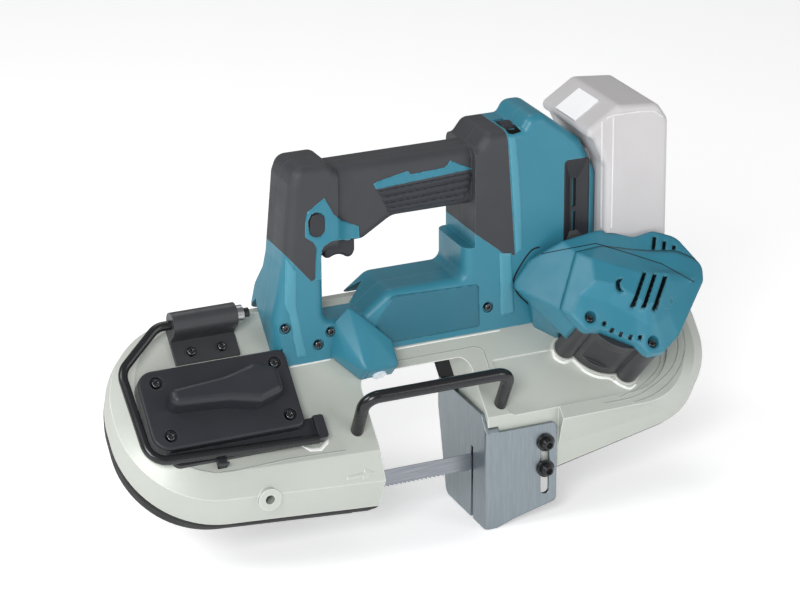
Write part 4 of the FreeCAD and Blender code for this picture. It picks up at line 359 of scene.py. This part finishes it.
def piece_from(name, body, finish, places, faces, crease):
    """A piece that rides on a body. Edges that turn by more than its crease, in degrees, stay sharp."""
    mesh = bpy.data.meshes.new(name)
    mesh.from_pydata([tuple(place) for place in places], [], faces)
    mesh.validate()
    shape = bmesh.new()
    shape.from_mesh(mesh)
    bmesh.ops.recalc_face_normals(shape, faces=shape.faces)
    shape.to_mesh(mesh)
    shape.free()
    mesh.polygons.foreach_set("use_smooth", [True] * len(mesh.polygons))
    mesh.set_sharp_from_angle(angle=math.radians(crease))
    mesh.materials.append(finish)
    piece = bpy.data.objects.new(name, mesh)
    bpy.context.scene.collection.objects.link(piece)
    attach(piece, body)
    return piece


def spaced(corners, step):
    """Points along the straight runs of a closed outline, about a step apart."""
    points = []
    for first, last in zip(corners, corners[1:] + corners[:1]):
        parts = max(1, round((last - first).length / step))
        points.extend(first.lerp(last, part / parts) for part in range(parts))
    return points


def inside(point, ring):
    """Whether a point lies within a ring, by the ring's crossings beside it."""
    odd = False
    for first, last in zip(ring, ring[1:] + ring[:1]):
        if (first.y > point.y) != (last.y > point.y):
            if point.x < first.x + (point.y - first.y) / (last.y - first.y) * (last.x - first.x):
                odd = not odd
    return odd


# The steps of the drapes' nets in pixels, from coarse to fine, and the room inside a net's rim
COARSE_STEP = 1.6
RIB_STEP = 1.5
WINDOW_STEP = 1.2
EVEN_STEP = 1.0
FINE_STEP = 0.9
LINE_STEP = 0.8
RIM_ROOM_SHARE = 0.55

# The triangulation joins points that lie this close, in pixels, and keeps what lies inside the outline
WELD = 0.001
KEEP_INSIDE = 1

# A pixel's width on the saw in m, and the steps of a net over which a longer side is a jump in depth
PIXEL_WIDE = 0.0007
JUMP_STEPS = 6
BRIDGE_STEPS = 16

# A drape's depth below its ground in m, its rim's thickness, the rounds that even its normals and its crease
DRAPE_SINK = 0.0005
RIM_THICK_SHARE = 0.35
NORMAL_ROUNDS = 2
DRAPE_CREASE = 50.0


def net_of(outline, step):
    """Points and triangles that fill an outline of picture places."""
    ring = spaced([Vector(corner) for corner in outline], step)
    points = list(ring)
    low = Vector((min(place.x for place in ring), min(place.y for place in ring)))
    high = Vector((max(place.x for place in ring), max(place.y for place in ring)))
    for row in range(int((high.y - low.y) / step) + 1):
        for column in range(int((high.x - low.x) / step) + 1):
            point = low + Vector(((column + row % 2 / 2) * step, row * step))
            room = min((point - other).length for other in ring)
            if inside(point, ring) and room > RIM_ROOM_SHARE * step:
                points.append(point)
    flat, _, triangles, *_ = delaunay_2d_cdt(points, [], [list(range(len(ring)))], KEEP_INSIDE, WELD)
    return flat, triangles


def longest(corners):
    """The longest side between corners."""
    return max((first - last).length for first, last in zip(corners, corners[1:] + corners[:1]))


def laid(triangles, hits, reach):
    """The triangles of a net that meet the ground at each corner and have no side beyond a reach."""
    kept = []
    for triangle in triangles:
        met = all(hits[index] is not None for index in triangle)
        if met and longest([hits[index][0] for index in triangle]) < reach:
            kept.append(list(triangle))
    return kept


def ties_of(triangles):
    """The neighbours of each point of a net, and the runs along its rim."""
    near = {index: set() for index in sorted({index for triangle in triangles for index in triangle})}
    runs = {}
    for triangle in triangles:
        for first, last in zip(triangle, triangle[1:] + triangle[:1]):
            near[first].add(last)
            near[last].add(first)
            runs.setdefault(frozenset((first, last)), []).append((first, last))
    return near, [run[0] for run in runs.values() if len(run) == 1]


def span_hollows(places, flat, near, rounds):
    """Draws places towards the camera where they lie deeper than their neighbours."""
    for _ in range(rounds):
        depths = {index: (place - EYE).length for index, place in places.items()}
        for index in near:
            level = sum(depths[other] for other in near[index]) / len(near[index])
            if level < depths[index]:
                places[index] = EYE + sight(flat[index].x, flat[index].y) * level


def evened(normals, near):
    """Normals averaged with those of their neighbours."""
    for _ in range(NORMAL_ROUNDS):
        sums = {}
        for index, others in near.items():
            sums[index] = sum((normals[other] for other in others), normals[index].copy())
        normals = {index: total.normalized() for index, total in sums.items()}
    return normals


def drape(name, body, finish, outline, carriers, thick, step=COARSE_STEP, bridge=0):
    """A thin plate on its carriers inside an outline of picture places, with a softened rim.

    Where it bridges, it spans hollows of its carriers in that many rounds."""
    ground = Ground(*carriers)
    flat, triangles = net_of(outline, step)
    hits = [ground.under(point.x, point.y) for point in flat]
    kept = laid(triangles, hits, (BRIDGE_STEPS if bridge else JUMP_STEPS) * step * PIXEL_WIDE)
    near, rims = ties_of(kept)
    on_rim = {index for run in rims for index in run}
    places = {index: hits[index][0] for index in near}
    span_hollows(places, flat, near, bridge)
    normals = evened({index: hits[index][1] for index in near}, near)
    top = []
    bottom = []
    for index in near:
        lift = normals[index] * thick
        if index in on_rim:
            lift = lift * RIM_THICK_SHARE
        top.append(places[index] + lift)
        bottom.append(places[index] - normals[index] * DRAPE_SINK)
    number = {index: count for count, index in enumerate(near)}
    size = len(number)
    faces = [[number[index] for index in triangle] for triangle in kept]
    faces += [[number[index] + size for index in reversed(triangle)] for triangle in kept]
    for first, last in rims:
        faces.append([number[first], number[first] + size, number[last] + size, number[last]])
    piece_from(name, body, finish, top + bottom, faces, DRAPE_CREASE)


def band_of(line, wide):
    """The outline of a strip along a line of picture places."""
    line = [Vector(place) for place in line]
    left = []
    right = []
    for index, place in enumerate(line):
        ahead = line[min(index + 1, len(line) - 1)] - line[max(index - 1, 0)]
        out = Vector((-ahead.y, ahead.x)).normalized() * wide / 2
        left.append(place + out)
        right.append(place - out)
    return left + right[::-1]


# The parts of a smooth line between two of its places
CURVE_PARTS = 6


def curved(line):
    """A smooth line through picture places."""
    line = [Vector(place) for place in line]
    points = []
    for index in range(len(line) - 1):
        before = line[max(index - 1, 0)]
        first = line[index]
        last = line[index + 1]
        after = line[min(index + 2, len(line) - 1)]
        for part in range(CURVE_PARTS):
            share = part / CURVE_PARTS
            bend = 2 * before - 5 * first + 4 * last - after
            twist = 3 * first - before - 3 * last + after
            points.append((2 * first + (last - before) * share + bend * share ** 2 + twist * share ** 3) / 2)
    return points + [line[-1]]


# The corners of an oval, and the power that squares it
OVAL_PARTS = 28
OVAL_POWER = 0.75


def oval(middle, half_wide, half_tall, lean):
    """A squared oval of picture places, leaning by an angle."""
    points = []
    for index in range(OVAL_PARTS):
        turn = 2 * math.pi * index / OVAL_PARTS
        aside = half_wide * math.copysign(abs(math.cos(turn)) ** OVAL_POWER, math.cos(turn))
        below = half_tall * math.copysign(abs(math.sin(turn)) ** OVAL_POWER, math.sin(turn))
        points.append((middle[0] + aside * math.cos(lean) - below * math.sin(lean),
                       middle[1] + aside * math.sin(lean) + below * math.cos(lean)))
    return points


# What carries the trims
SHELL = ("shell_front", "shell_rear", "grip_front", "grip_rear")
COVER = ("motor_cover_lower", "motor_cover_upper")
DECK = ("deck_frame",)
PACK_CASE = ("battery_case",)

# The handle's trims in places of the picture
TRIGGER_FRAME = [
    (324.2, 198.1), (333.7, 214.4), (341.4, 220.1), (358.6, 226.2), (359.6, 241.1), (354.8, 242.5),
    (343.3, 239.2), (331.8, 241.1), (324.2, 245.9), (321.3, 250.7), (322.3, 258.4), (322.8, 279.0),
    (315.0, 280.0), (315.6, 260.3), (316.5, 248.8), (313.7, 243.0), (305.0, 237.3), (305.0, 222.0),
    (307.0, 212.4)]
LOCK_MIDDLE = (317.3, 223.3)
LOCK_HALF_WIDE = 8.3
LOCK_HALF_TALL = 12.9
LOCK_LEAN = 0.05
GRIP_STRIPE = [
    (373.3, 184.1), (377.7, 181.4), (406.4, 171.3), (408.4, 171.3), (410.7, 174.2), (444.3, 167.5),
    (447.6, 164.6), (450.4, 160.4), (472.4, 168.8), (377.7, 188.9), (375.8, 188.9)]
RIB_LEFT = [(377.2, 190.6), (381.0, 196.6), (383.5, 202.9), (386.0, 207.5), (388.6, 212.6)]
RIB_RIGHT = [(472.0, 171.4), (470.9, 178.0), (469.6, 185.3), (467.9, 192.2), (463.1, 199.6)]
RIB_GAP = Vector((0.0, 0.55))
DIAL_WINDOW = [(501.7, 124.8), (515.0, 124.8), (521.2, 131.7), (512.5, 134.5), (508.4, 133.5)]
POST_FACET = [
    (499.4, 253.2), (511.2, 253.2), (514.2, 310.5), (513.0, 312.6), (501.6, 315.4), (500.4, 313.8)]
FOOT_FACET = [
    (285.6, 258.4), (296.0, 271.6), (296.0, 305.8), (306.0, 355.6), (297.2, 357.2), (292.7, 335.7),
    (289.7, 315.8), (284.4, 305.8)]

# How far the handle's trims stand out, and the rounds in which the trigger's frame spans hollows
FRAME_THICK = 0.0007
RECESS_THICK = 0.00095
STRIPE_THICK = 0.0008
RIB_THICK = 0.0011
WINDOW_THICK = 0.0006
FACET_THICK = 0.0011
FRAME_BRIDGE = 40


def make_handle_trim():
    """Frame round the trigger, stripe and ribs on the grip, the dial's window and paler facets on the posts,
    whose paleness is a painted highlight.
    """
    drape("trigger_frame", "frame", TEAL_TRIM, TRIGGER_FRAME, SHELL, FRAME_THICK,
          bridge=FRAME_BRIDGE)
    recess = oval(LOCK_MIDDLE, LOCK_HALF_WIDE, LOCK_HALF_TALL, LOCK_LEAN)
    drape("lock_recess", "frame", GUARD, recess, SHELL, RECESS_THICK)
    drape("grip_stripe", "frame", TEAL_TRIM, GRIP_STRIPE, SHELL, STRIPE_THICK)
    left = [Vector(place) for place in RIB_LEFT]
    right = [Vector(place) for place in RIB_RIGHT]
    for index in range(len(left) - 1):
        upper = [left[index] + RIB_GAP, right[index] + RIB_GAP]
        lower = [right[index + 1] - RIB_GAP, left[index + 1] - RIB_GAP]
        name = "grip_rib_%d" % (index + 1)
        drape(name, "frame", PAD, upper + lower, SHELL, RIB_THICK, RIB_STEP)
    drape("dial_window", "frame", GUARD, DIAL_WINDOW, SHELL, WINDOW_THICK, WINDOW_STEP)
    # Painted highlight: paler teal plates on the facets of the posts
    drape("post_facet_highlight", "frame", TEAL_HIGHLIGHT, POST_FACET, SHELL, FACET_THICK)
    drape("foot_facet_highlight", "frame", TEAL_HIGHLIGHT, FOOT_FACET, SHELL, STRIPE_THICK)


# The housing's trims in places of the picture
FRONT_PANEL = [
    (375.0, 326.5), (391.8, 297.0), (394.0, 295.6), (476.0, 284.4), (478.6, 286.4), (479.4, 325.0),
    (477.4, 326.8), (389.0, 343.0), (386.0, 342.2)]
RING_RIM = [
    (508.6, 137.0), (515.4, 136.6), (518.6, 166.0), (521.4, 212.0), (522.6, 250.0), (515.8, 253.2),
    (513.8, 212.0), (510.8, 166.0)]
PANEL_THICK = 0.0009


def make_housing_trim():
    """The panel under the handle's opening, darkened with painted shade, and the rim beside the grey ring,
    paled with a painted highlight.
    """
    # Painted shade on the panel, painted highlight on the rim beside the ring
    drape("front_panel", "frame", TEAL_SHADED, FRONT_PANEL, SHELL, PANEL_THICK)
    drape("ring_rim_highlight", "frame", TEAL_HIGHLIGHT, RING_RIM, SHELL, PANEL_THICK)


# How a solid between corners is made, with angles in degrees
BULK_FLAT = 3.0
BULK_SEGMENTS = 3
BULK_PROFILE = 0.6
BULK_CREASE = 40.0


def make_bulk(name, finish, corners, edge):
    """A solid between corners, with its edges rounded."""
    shape = bmesh.new()
    for corner in corners:
        shape.verts.new(corner)
    bmesh.ops.convex_hull(shape, input=shape.verts[:])
    flat = math.radians(BULK_FLAT)
    bmesh.ops.dissolve_limit(shape, angle_limit=flat, verts=shape.verts[:], edges=shape.edges[:])
    bmesh.ops.bevel(shape, geom=shape.edges[:], offset=edge, segments=BULK_SEGMENTS, profile=BULK_PROFILE,
                    affect="EDGES", clamp_overlap=True)
    shape.normal_update()
    shape.verts.index_update()
    places = [vertex.co.copy() for vertex in shape.verts]
    faces = [[vertex.index for vertex in face.verts] for face in shape.faces]
    shape.free()
    piece_from(name, "frame", finish, places, faces, BULK_CREASE)


# The lamp's nose: places along the band, up the slope and above the deck, and its peaks in the picture
NOSE_SEAT = 0.0003
NOSE_SIDES = (-0.0158, 0.0088)
NOSE_FRONT = 0.0588
NOSE_FRONT_HIGH = 0.0178
NOSE_BACK = 0.0815
NOSE_TOP = 0.0770
NOSE_TOP_HIGH = 0.0190
CHEEK_SIDE = -0.0245
CHEEK_FRONT = 0.0700
CHEEK_HIGH = 0.0120
TAIL_SIDE = -0.0330
NOSE_PEAKS = ((334.0, 322.0), (349.0, 305.0))
PEAK_BACK = 0.0260
NOSE_EDGE = 0.0016


def make_lamp_nose():
    """The lamp's nose, which grows out of the housing's front."""
    corners = []
    for side in NOSE_SIDES:
        corners.append(on_deck(side, NOSE_FRONT, NOSE_SEAT))
        corners.append(on_deck(side, NOSE_FRONT, NOSE_FRONT_HIGH))
        corners.append(on_deck(side, NOSE_BACK, NOSE_SEAT))
        corners.append(on_deck(side, NOSE_TOP, NOSE_TOP_HIGH))
    corners.append(on_deck(CHEEK_SIDE, CHEEK_FRONT, NOSE_SEAT))
    corners.append(on_deck(CHEEK_SIDE, CHEEK_FRONT, CHEEK_HIGH))
    corners.append(on_deck(TAIL_SIDE, NOSE_BACK, NOSE_SEAT))
    corners.extend(at_back(across, down, PEAK_BACK) for across, down in NOSE_PEAKS)
    make_bulk("lamp_nose", TEAL, corners, NOSE_EDGE)


# The slots, seams and vents in places of the picture, and the widths of the seams there
COVER_SLOTS = [
    [(642.3, 273.3), (646.3, 272.7), (635.4, 306.6), (630.5, 307.1)],
    [(652.7, 275.0), (656.7, 274.6), (646.2, 307.2), (641.8, 307.2)],
    [(663.5, 276.8), (667.6, 276.3), (657.0, 309.9), (652.7, 309.9)],
    [(652.7, 237.4), (656.1, 237.2), (655.2, 249.1), (652.2, 249.1)],
    [(663.1, 241.7), (666.1, 241.5), (665.2, 249.1), (662.5, 249.1)],
    [(673.2, 246.0), (675.8, 245.7), (675.3, 249.2), (672.5, 248.8)],
    [(616.9, 283.8), (618.8, 280.6), (621.8, 278.8), (620.2, 282.8), (620.0, 286.9), (621.6, 290.3),
     (619.2, 290.1)]]
COVER_SEAM = [
    (533.0, 255.6), (560.0, 250.2), (596.0, 243.4), (628.0, 253.0), (662.0, 264.0), (694.0, 281.8)]
COVER_GAP = [
    (539.6, 246.9), (529.9, 251.9), (515.8, 273.6), (513.9, 285.5), (519.1, 295.3), (531.0, 307.2),
    (534.8, 318.0)]
VENT_SLITS = [
    [(572.8, 178.6), (575.2, 178.4), (575.0, 206.0), (572.6, 206.0)],
    [(572.6, 211.2), (574.8, 211.2), (574.4, 229.6), (572.4, 229.6)]]
SMALL_VENTS = [(604.4, 323.7), (612.1, 330.4), (620.7, 334.5), (630.4, 337.3), (640.0, 337.7)]
SMALL_VENT_CORNERS = [(-0.6, -2.9), (2.6, -2.1), (0.6, 2.9), (-2.6, 2.1)]
SEAM_WIDE = 0.8
GAP_WIDE = 1.5

# How far the sheets of painted shade and the dark joint lines stand out
SLOT_THICK = 0.0003
SEAM_THICK = 0.0002
DEPTH_THICK = 0.0004


def make_cover_vents():
    """Painted shade in the motor cover's slots, the side vent's slits and a row of small vents, and dark
    joint lines along the cover's seam and its gap to the housing.
    """
    for index, slot in enumerate(COVER_SLOTS):
        # Painted shade: dark sheets in the slots, where the cover is open
        drape("slot_shade_%d" % (index + 1), "frame", SHADE_AND_JOINT, slot, COVER, SLOT_THICK, FINE_STEP)
    seam = band_of(COVER_SEAM, SEAM_WIDE)
    drape("cover_seam_line", "frame", SHADE_AND_JOINT, seam, COVER, SEAM_THICK, LINE_STEP)
    gap = band_of(curved(COVER_GAP), GAP_WIDE)
    drape("cover_gap_line", "frame", SHADE_AND_JOINT, gap, SHELL, DEPTH_THICK, FINE_STEP)
    # Painted shade in the vent's slits and the small vents
    for index, slit in enumerate(VENT_SLITS):
        drape("vent_slit_shade_%d" % (index + 1), "frame", SHADE_AND_JOINT, slit, SHELL, DEPTH_THICK, LINE_STEP)
    for index, (across, down) in enumerate(SMALL_VENTS):
        vent = [(across + aside, down + below) for aside, below in SMALL_VENT_CORNERS]
        drape("small_vent_shade_%d" % (index + 1), "frame", SHADE_AND_JOINT, vent, COVER, DEPTH_THICK, FINE_STEP)


# The deck's marks in places of the picture, and the widths of the lines there
STRAIGHT_GROOVE_SHADES = {
    "window_line": [
        (384.5, 363.4), (440.0, 353.2), (473.0, 347.0), (479.0, 347.6), (483.5, 351.4), (490.4, 372.0)],
    "lobe_line_left": [
        (176.0, 460.7), (197.8, 469.9), (216.1, 473.3), (234.5, 471.0), (291.9, 458.4), (345.8, 450.4)]}
CURVED_GROOVE_SHADES = {
    "lobe_line_outer": [
        (682.8, 328.9), (684.9, 348.3), (679.5, 367.9), (666.5, 385.2), (651.3, 396.0), (633.0, 402.6)],
    "lobe_line_middle": [
        (676.2, 333.2), (678.4, 348.3), (672.9, 365.8), (662.1, 378.7), (644.8, 391.7), (629.6, 398.3),
        (604.0, 403.4)],
    "lobe_line_inner": [(661.1, 341.9), (660.0, 363.5), (651.3, 376.6), (636.1, 389.6), (618.8, 397.2)]}
GEAR_SEAT = [
    (552.6, 349.5), (554.8, 357.6), (563.5, 362.6), (573.3, 360.8), (584.1, 370.8), (597.1, 377.0),
    (610.3, 378.6), (618.8, 384.2), (629.6, 388.4), (636.0, 384.0)]
COVER_SEAT = [
    (152.0, 449.0), (161.0, 459.6), (174.8, 463.0), (205.8, 458.4), (205.1, 455.4), (174.8, 459.4),
    (163.3, 456.8), (154.6, 447.4)]
EAR_SEAT = [
    (299.0, 444.6), (310.3, 451.5), (321.7, 450.9), (328.5, 443.5), (328.9, 437.8), (325.5, 441.0),
    (319.7, 447.3), (311.5, 448.0)]
WAY_ARROW = [
    (346.5, 480.2), (363.0, 476.4), (362.6, 479.6), (376.8, 472.8), (364.4, 468.6), (363.8, 472.4),
    (347.5, 476.4)]
HOUSING_SEATS = {
    "housing_seat_rim_left": [(289.7, 367.2), (310.0, 363.3), (330.6, 359.3)],
    "housing_seat_rim_right": [(396.0, 349.0), (445.6, 339.9), (500.0, 330.2)]}
STRAIGHT_WIDE = 1.5
CURVED_WIDE = 1.6
GEAR_SEAT_WIDE = 2.6

# How far the deck's marks stand out
GROOVE_SHADE_THICK = 0.0003
SEAT_THICK = 0.0005
ARROW_THICK = 0.0004


def make_deck_marks():
    """Lines of painted shade in the grooves round the window and the lobes, seat rims paled with a painted
    highlight and the arrow of the band's way.
    """
    # Painted shade along the grooves round the window and the lobes
    for name, line in STRAIGHT_GROOVE_SHADES.items():
        strip = band_of(line, STRAIGHT_WIDE)
        drape(name, "frame", CASTING_GROOVE_SHADE, strip, DECK, GROOVE_SHADE_THICK, LINE_STEP)
    for name, line in CURVED_GROOVE_SHADES.items():
        strip = band_of(curved(line), CURVED_WIDE)
        drape(name, "frame", CASTING_GROOVE_SHADE, strip, DECK, GROOVE_SHADE_THICK, LINE_STEP)
    # Painted highlight: near white rims along the seats of the gear case, the covers, the ear and the
    # housing
    gear_seat = band_of(curved(GEAR_SEAT), GEAR_SEAT_WIDE)
    seats = {"gear_seat_rim": gear_seat, "cover_seat_rim": COVER_SEAT, "ear_seat_rim": EAR_SEAT}
    for name, outline in seats.items():
        drape(name, "frame", CASTING_HIGHLIGHT_RIM, outline, DECK, SEAT_THICK, LINE_STEP)
    drape("way_arrow", "frame", CASTING, WAY_ARROW, DECK, ARROW_THICK, EVEN_STEP)
    for name, line in HOUSING_SEATS.items():
        strip = band_of(line, STRAIGHT_WIDE)
        drape(name, "frame", CASTING_HIGHLIGHT_RIM, strip, DECK, ARROW_THICK, LINE_STEP)


# The battery's creases in places of the picture, their width there and how far they stand out
PACK_CREASES = {
    "pack_crease_edge": [(602.1, 121.3), (601.5, 176.5), (600.9, 228.1)],
    "pack_crease_face": [(613.5, 117.2), (612.7, 176.5), (611.5, 228.1)],
    "pack_lid_line": [(606.4, 118.3), (613.5, 115.3), (642.0, 111.2), (653.5, 111.0), (662.8, 116.5)]}
CREASE_WIDE = 1.8
CREASE_THICK = 0.0006


def make_pack_lines():
    """Pale strips along the creases down the battery's front and the line of its lid, whose paleness is a
    painted highlight.
    """
    for name, line in PACK_CREASES.items():
        strip = band_of(line, CREASE_WIDE)
        drape(name, "battery", PACK_HIGHLIGHT, strip, PACK_CASE, CREASE_THICK, EVEN_STEP)


# Places that round to the same spot count as one
SPOTS_PER_METRE = 1e6


def islands(mesh):
    """The separate solids of a mesh, as lists of places."""
    root = list(range(len(mesh.vertices)))

    def top_of(index):
        while root[index] != index:
            root[index] = root[root[index]]
            index = root[index]
        return index

    same = {}
    for vertex in mesh.vertices:
        spot = tuple(round(part * SPOTS_PER_METRE) for part in vertex.co)
        root[vertex.index] = same.setdefault(spot, vertex.index)
    for edge in mesh.edges:
        first, last = (top_of(index) for index in edge.vertices)
        root[first] = last
    groups = {}
    for vertex in mesh.vertices:
        groups.setdefault(top_of(vertex.index), []).append(vertex.co.copy())
    return list(groups.values())


def tube_walls(rings, parts):
    """The faces of rings of places joined one to the next, closed at both ends."""
    faces = [list(range(parts))[::-1], [(rings - 1) * parts + index for index in range(parts)]]
    for ring in range(rings - 1):
        start = ring * parts
        for index in range(parts):
            ahead = (index + 1) % parts
            faces.append([start + index, start + ahead, start + parts + ahead, start + parts + index])
    return faces


# The corners of a turned ring, and the lobes of a socket
TURNED_PARTS = 36
SOCKET_LOBES = 6


def turned(centre, axis, rings):
    """Places and faces of a form turned round an axis. A ring has a radius, a height and lobes."""
    across = axis.orthogonal().normalized()
    beside = axis.cross(across)
    places = []
    for reach, lift, lobe in rings:
        for index in range(TURNED_PARTS):
            turn = 2 * math.pi * index / TURNED_PARTS
            size = reach * (1 + lobe * math.cos(SOCKET_LOBES * turn))
            places.append(centre + axis * lift + (across * math.cos(turn) + beside * math.sin(turn)) * size)
    return places, tube_walls(len(rings), TURNED_PARTS)


# The height of each kind of screw's head, and what tells a screw's way from its spans
SCREW_HEADS = {
    "casting_screws": 0.003, "hook_holder_screws": 0.0032, "housing_screws": 0.003,
    "wheel_cover_screws": 0.0025}
SPAN_SLACK = 0.0005
LONGER_SHARE = 1.05
TOP_SLACK = 0.0002
SCREW_CREASE = 40.0

# A screw's shank and tip, and its head's rings: shares of radius and height, and the depth of the lobes
SHANK_SHARE = 0.5
TIP_SHARE = 0.7
TIP_LONG_SHARE = 0.3
HEAD_SHARES = (
    (0.97, 1.0, 0.0), (0.98, 0.3, 0.0), (0.9, 0.1, 0.0), (0.76, 0.0, 0.0),
    (0.56, 0.0, 0.1), (0.5, 0.05, 0.17), (0.47, 0.6, 0.17))
DECK_UP = Vector((0.0, -1.0, 1.0)).normalized()
FRONT = Vector((0.0, -1.0, 0.0))


def screw_rings(radius, high, long):
    """A button-head screw with a six-lobed socket, its top at zero."""
    shank = radius * SHANK_SHARE
    tip_long = shank * TIP_LONG_SHARE
    rings = [(shank * TIP_SHARE, -long, 0.0), (shank, -long + tip_long, 0.0), (shank, -high, 0.0)]
    rings += [(radius * reach, -high * lift, lobe) for reach, lift, lobe in HEAD_SHARES]
    return rings


def screw_axis(node, group):
    """The way a screw's head faces."""
    if node == "wheel_cover_screws":
        return -DECK_UP
    spans = [max(place[way] for place in group) - min(place[way] for place in group) for way in range(3)]
    wide, deep, tall = spans
    level = abs(tall - wide) < SPAN_SLACK and deep > wide * LONGER_SHARE
    return FRONT if level else DECK_UP


def make_screws():
    """Screws with sockets in the places of the plain ones."""
    for node, high in SCREW_HEADS.items():
        places = []
        faces = []
        for group in islands(nodes[node].data):
            axis = screw_axis(node, group)
            best = max(place.dot(axis) for place in group)
            top = [place for place in group if place.dot(axis) > best - TOP_SLACK]
            centre = sum(top, Vector()) / len(top)
            radius = max((place - centre).length for place in top)
            long = best - min(place.dot(axis) for place in group)
            more, walls = turned(centre, axis, screw_rings(radius, high, long))
            faces += [[index + len(places) for index in wall] for wall in walls]
            places += more
        screws = piece_from("socket_" + node, "frame", SOCKET, places, faces, SCREW_CREASE)
        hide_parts(node)


# The trigger's spring: the radius of its wire and its turns
COIL_WIRE = 0.0005
COIL_TURNS = 6
COIL_STEPS = 24
COIL_SIDES = 8
COIL_CREASE = 60.0


def make_spring():
    """The trigger's spring, coiled in the place of the plain one."""
    low, high = (Vector(corner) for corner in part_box("trigger_spring"))
    middle = (low + high) / 2
    reach = min(high.x - low.x, high.y - low.y) / 2 - COIL_WIRE
    tall = high.z - low.z - 2 * COIL_WIRE
    steps = COIL_TURNS * COIL_STEPS
    upward = Vector((0.0, 0.0, 1.0))
    places = []
    for step in range(steps + 1):
        turn = 2 * math.pi * step / COIL_STEPS
        out = Vector((math.cos(turn), math.sin(turn), 0.0))
        heart = Vector((middle.x, middle.y, low.z + COIL_WIRE + tall * step / steps)) + out * reach
        for side in range(COIL_SIDES):
            swing = 2 * math.pi * side / COIL_SIDES
            places.append(heart + (out * math.cos(swing) + upward * math.sin(swing)) * COIL_WIRE)
    faces = tube_walls(steps + 1, COIL_SIDES)
    spring = piece_from("trigger_coil", "frame", STEEL, places, faces, COIL_CREASE)
    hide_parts("trigger_spring")
    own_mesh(spring)


# The clip of the hook's wire: its sides along the band, and spans up the slope and above the deck
CLIP_SIDES = (-0.1315, -0.1250)
CLIP_SPANS = {
    "wire_clip_foot": ((0.0146, 0.0310), (0.0001, 0.0046)),
    "wire_clip_lip": ((0.0146, 0.0162), (0.0001, 0.0085))}
CLIP_EDGE = 0.0004


def make_wire_clip():
    """The clip on the tension cover's front shelf that holds the hook's wire."""
    for name, (rises, lifts) in CLIP_SPANS.items():
        corners = [on_deck(side, rise, lift) for side in CLIP_SIDES for rise in rises for lift in lifts]
        make_bulk(name, CHARCOAL, corners, CLIP_EDGE)


make_handle_trim()
make_housing_trim()
make_lamp_nose()
make_cover_vents()
make_deck_marks()
make_pack_lines()
make_screws()
make_spring()
make_wire_clip()

# Floor, light and backdrop: places and sizes in m, power in W
FLOOR_SIZE = 6.0
FLOOR_CELLS = 8
FLOOR_DROP = 0.0005
FLOOR_GLOW = 0.38
BACKDROP = 0.26
TARGET = Vector((0.0, 0.0, 0.14))
LIGHTS = {
    "key": {"place": (-1.15, -1.6, 1.2), "size": 0.9, "power": 30.0},
    "fill": {"place": (1.2, -1.6, 0.8), "size": 1.2, "power": 10.0},
    "rim": {"place": (0.2, 1.3, 2.3), "size": 1.2, "power": 10.0},
    "shoulder": {"place": (-1.6, 0.0, 1.4), "size": 0.8, "power": 14.0},
}


def make_floor():
    mesh = bpy.data.meshes.new("floor")
    shape = bmesh.new()
    bmesh.ops.create_grid(shape, x_segments=FLOOR_CELLS, y_segments=FLOOR_CELLS, size=FLOOR_SIZE)
    shape.to_mesh(mesh)
    shape.free()
    floor = bpy.data.objects.new("floor", mesh)
    bpy.context.scene.collection.objects.link(floor)
    floor.location = (0.0, 0.0, -FLOOR_DROP)
    look = Look("pale_floor")
    cloud = look.noise(scale=2.0)
    pale = look.blend(cloud, tone(250, 250, 250), tone(247, 247, 248))
    rough = look.span(cloud, low=0.0, high=1.0, start=0.75, end=0.85)
    mesh.materials.append(look.finish(
        Base_Color=pale, Roughness=rough, Emission_Color=pale, Emission_Strength=FLOOR_GLOW))


def make_light(name, place, size, power):
    data = bpy.data.lights.new(name, "AREA")
    data.shape = "DISK"
    data.size = size
    data.energy = power
    lamp = bpy.data.objects.new(name, data)
    bpy.context.scene.collection.objects.link(lamp)
    lamp.location = place
    lamp.rotation_euler = (TARGET - Vector(place)).to_track_quat("-Z", "Y").to_euler()


def make_studio():
    world = bpy.data.worlds.new("studio")
    bpy.context.scene.world = world
    world.use_nodes = True
    backdrop = world.node_tree.nodes["Background"]
    backdrop.inputs["Color"].default_value = (1.0, 1.0, 1.0, 1.0)
    backdrop.inputs["Strength"].default_value = BACKDROP
    bpy.context.scene.view_settings.view_transform = "Standard"
    for name, light in LIGHTS.items():
        make_light(name, **light)


def make_camera():
    data = bpy.data.cameras.new("camera")
    data.lens = LENS_LENGTH
    data.sensor_width = SENSOR
    data.sensor_fit = "HORIZONTAL"
    camera = bpy.data.objects.new("camera", data)
    bpy.context.scene.collection.objects.link(camera)
    camera.matrix_world = Matrix.Translation(EYE) @ Matrix((RIGHT, UP, BACK)).transposed().to_4x4()
    bpy.context.scene.camera = camera


make_floor()
make_studio()
make_camera()
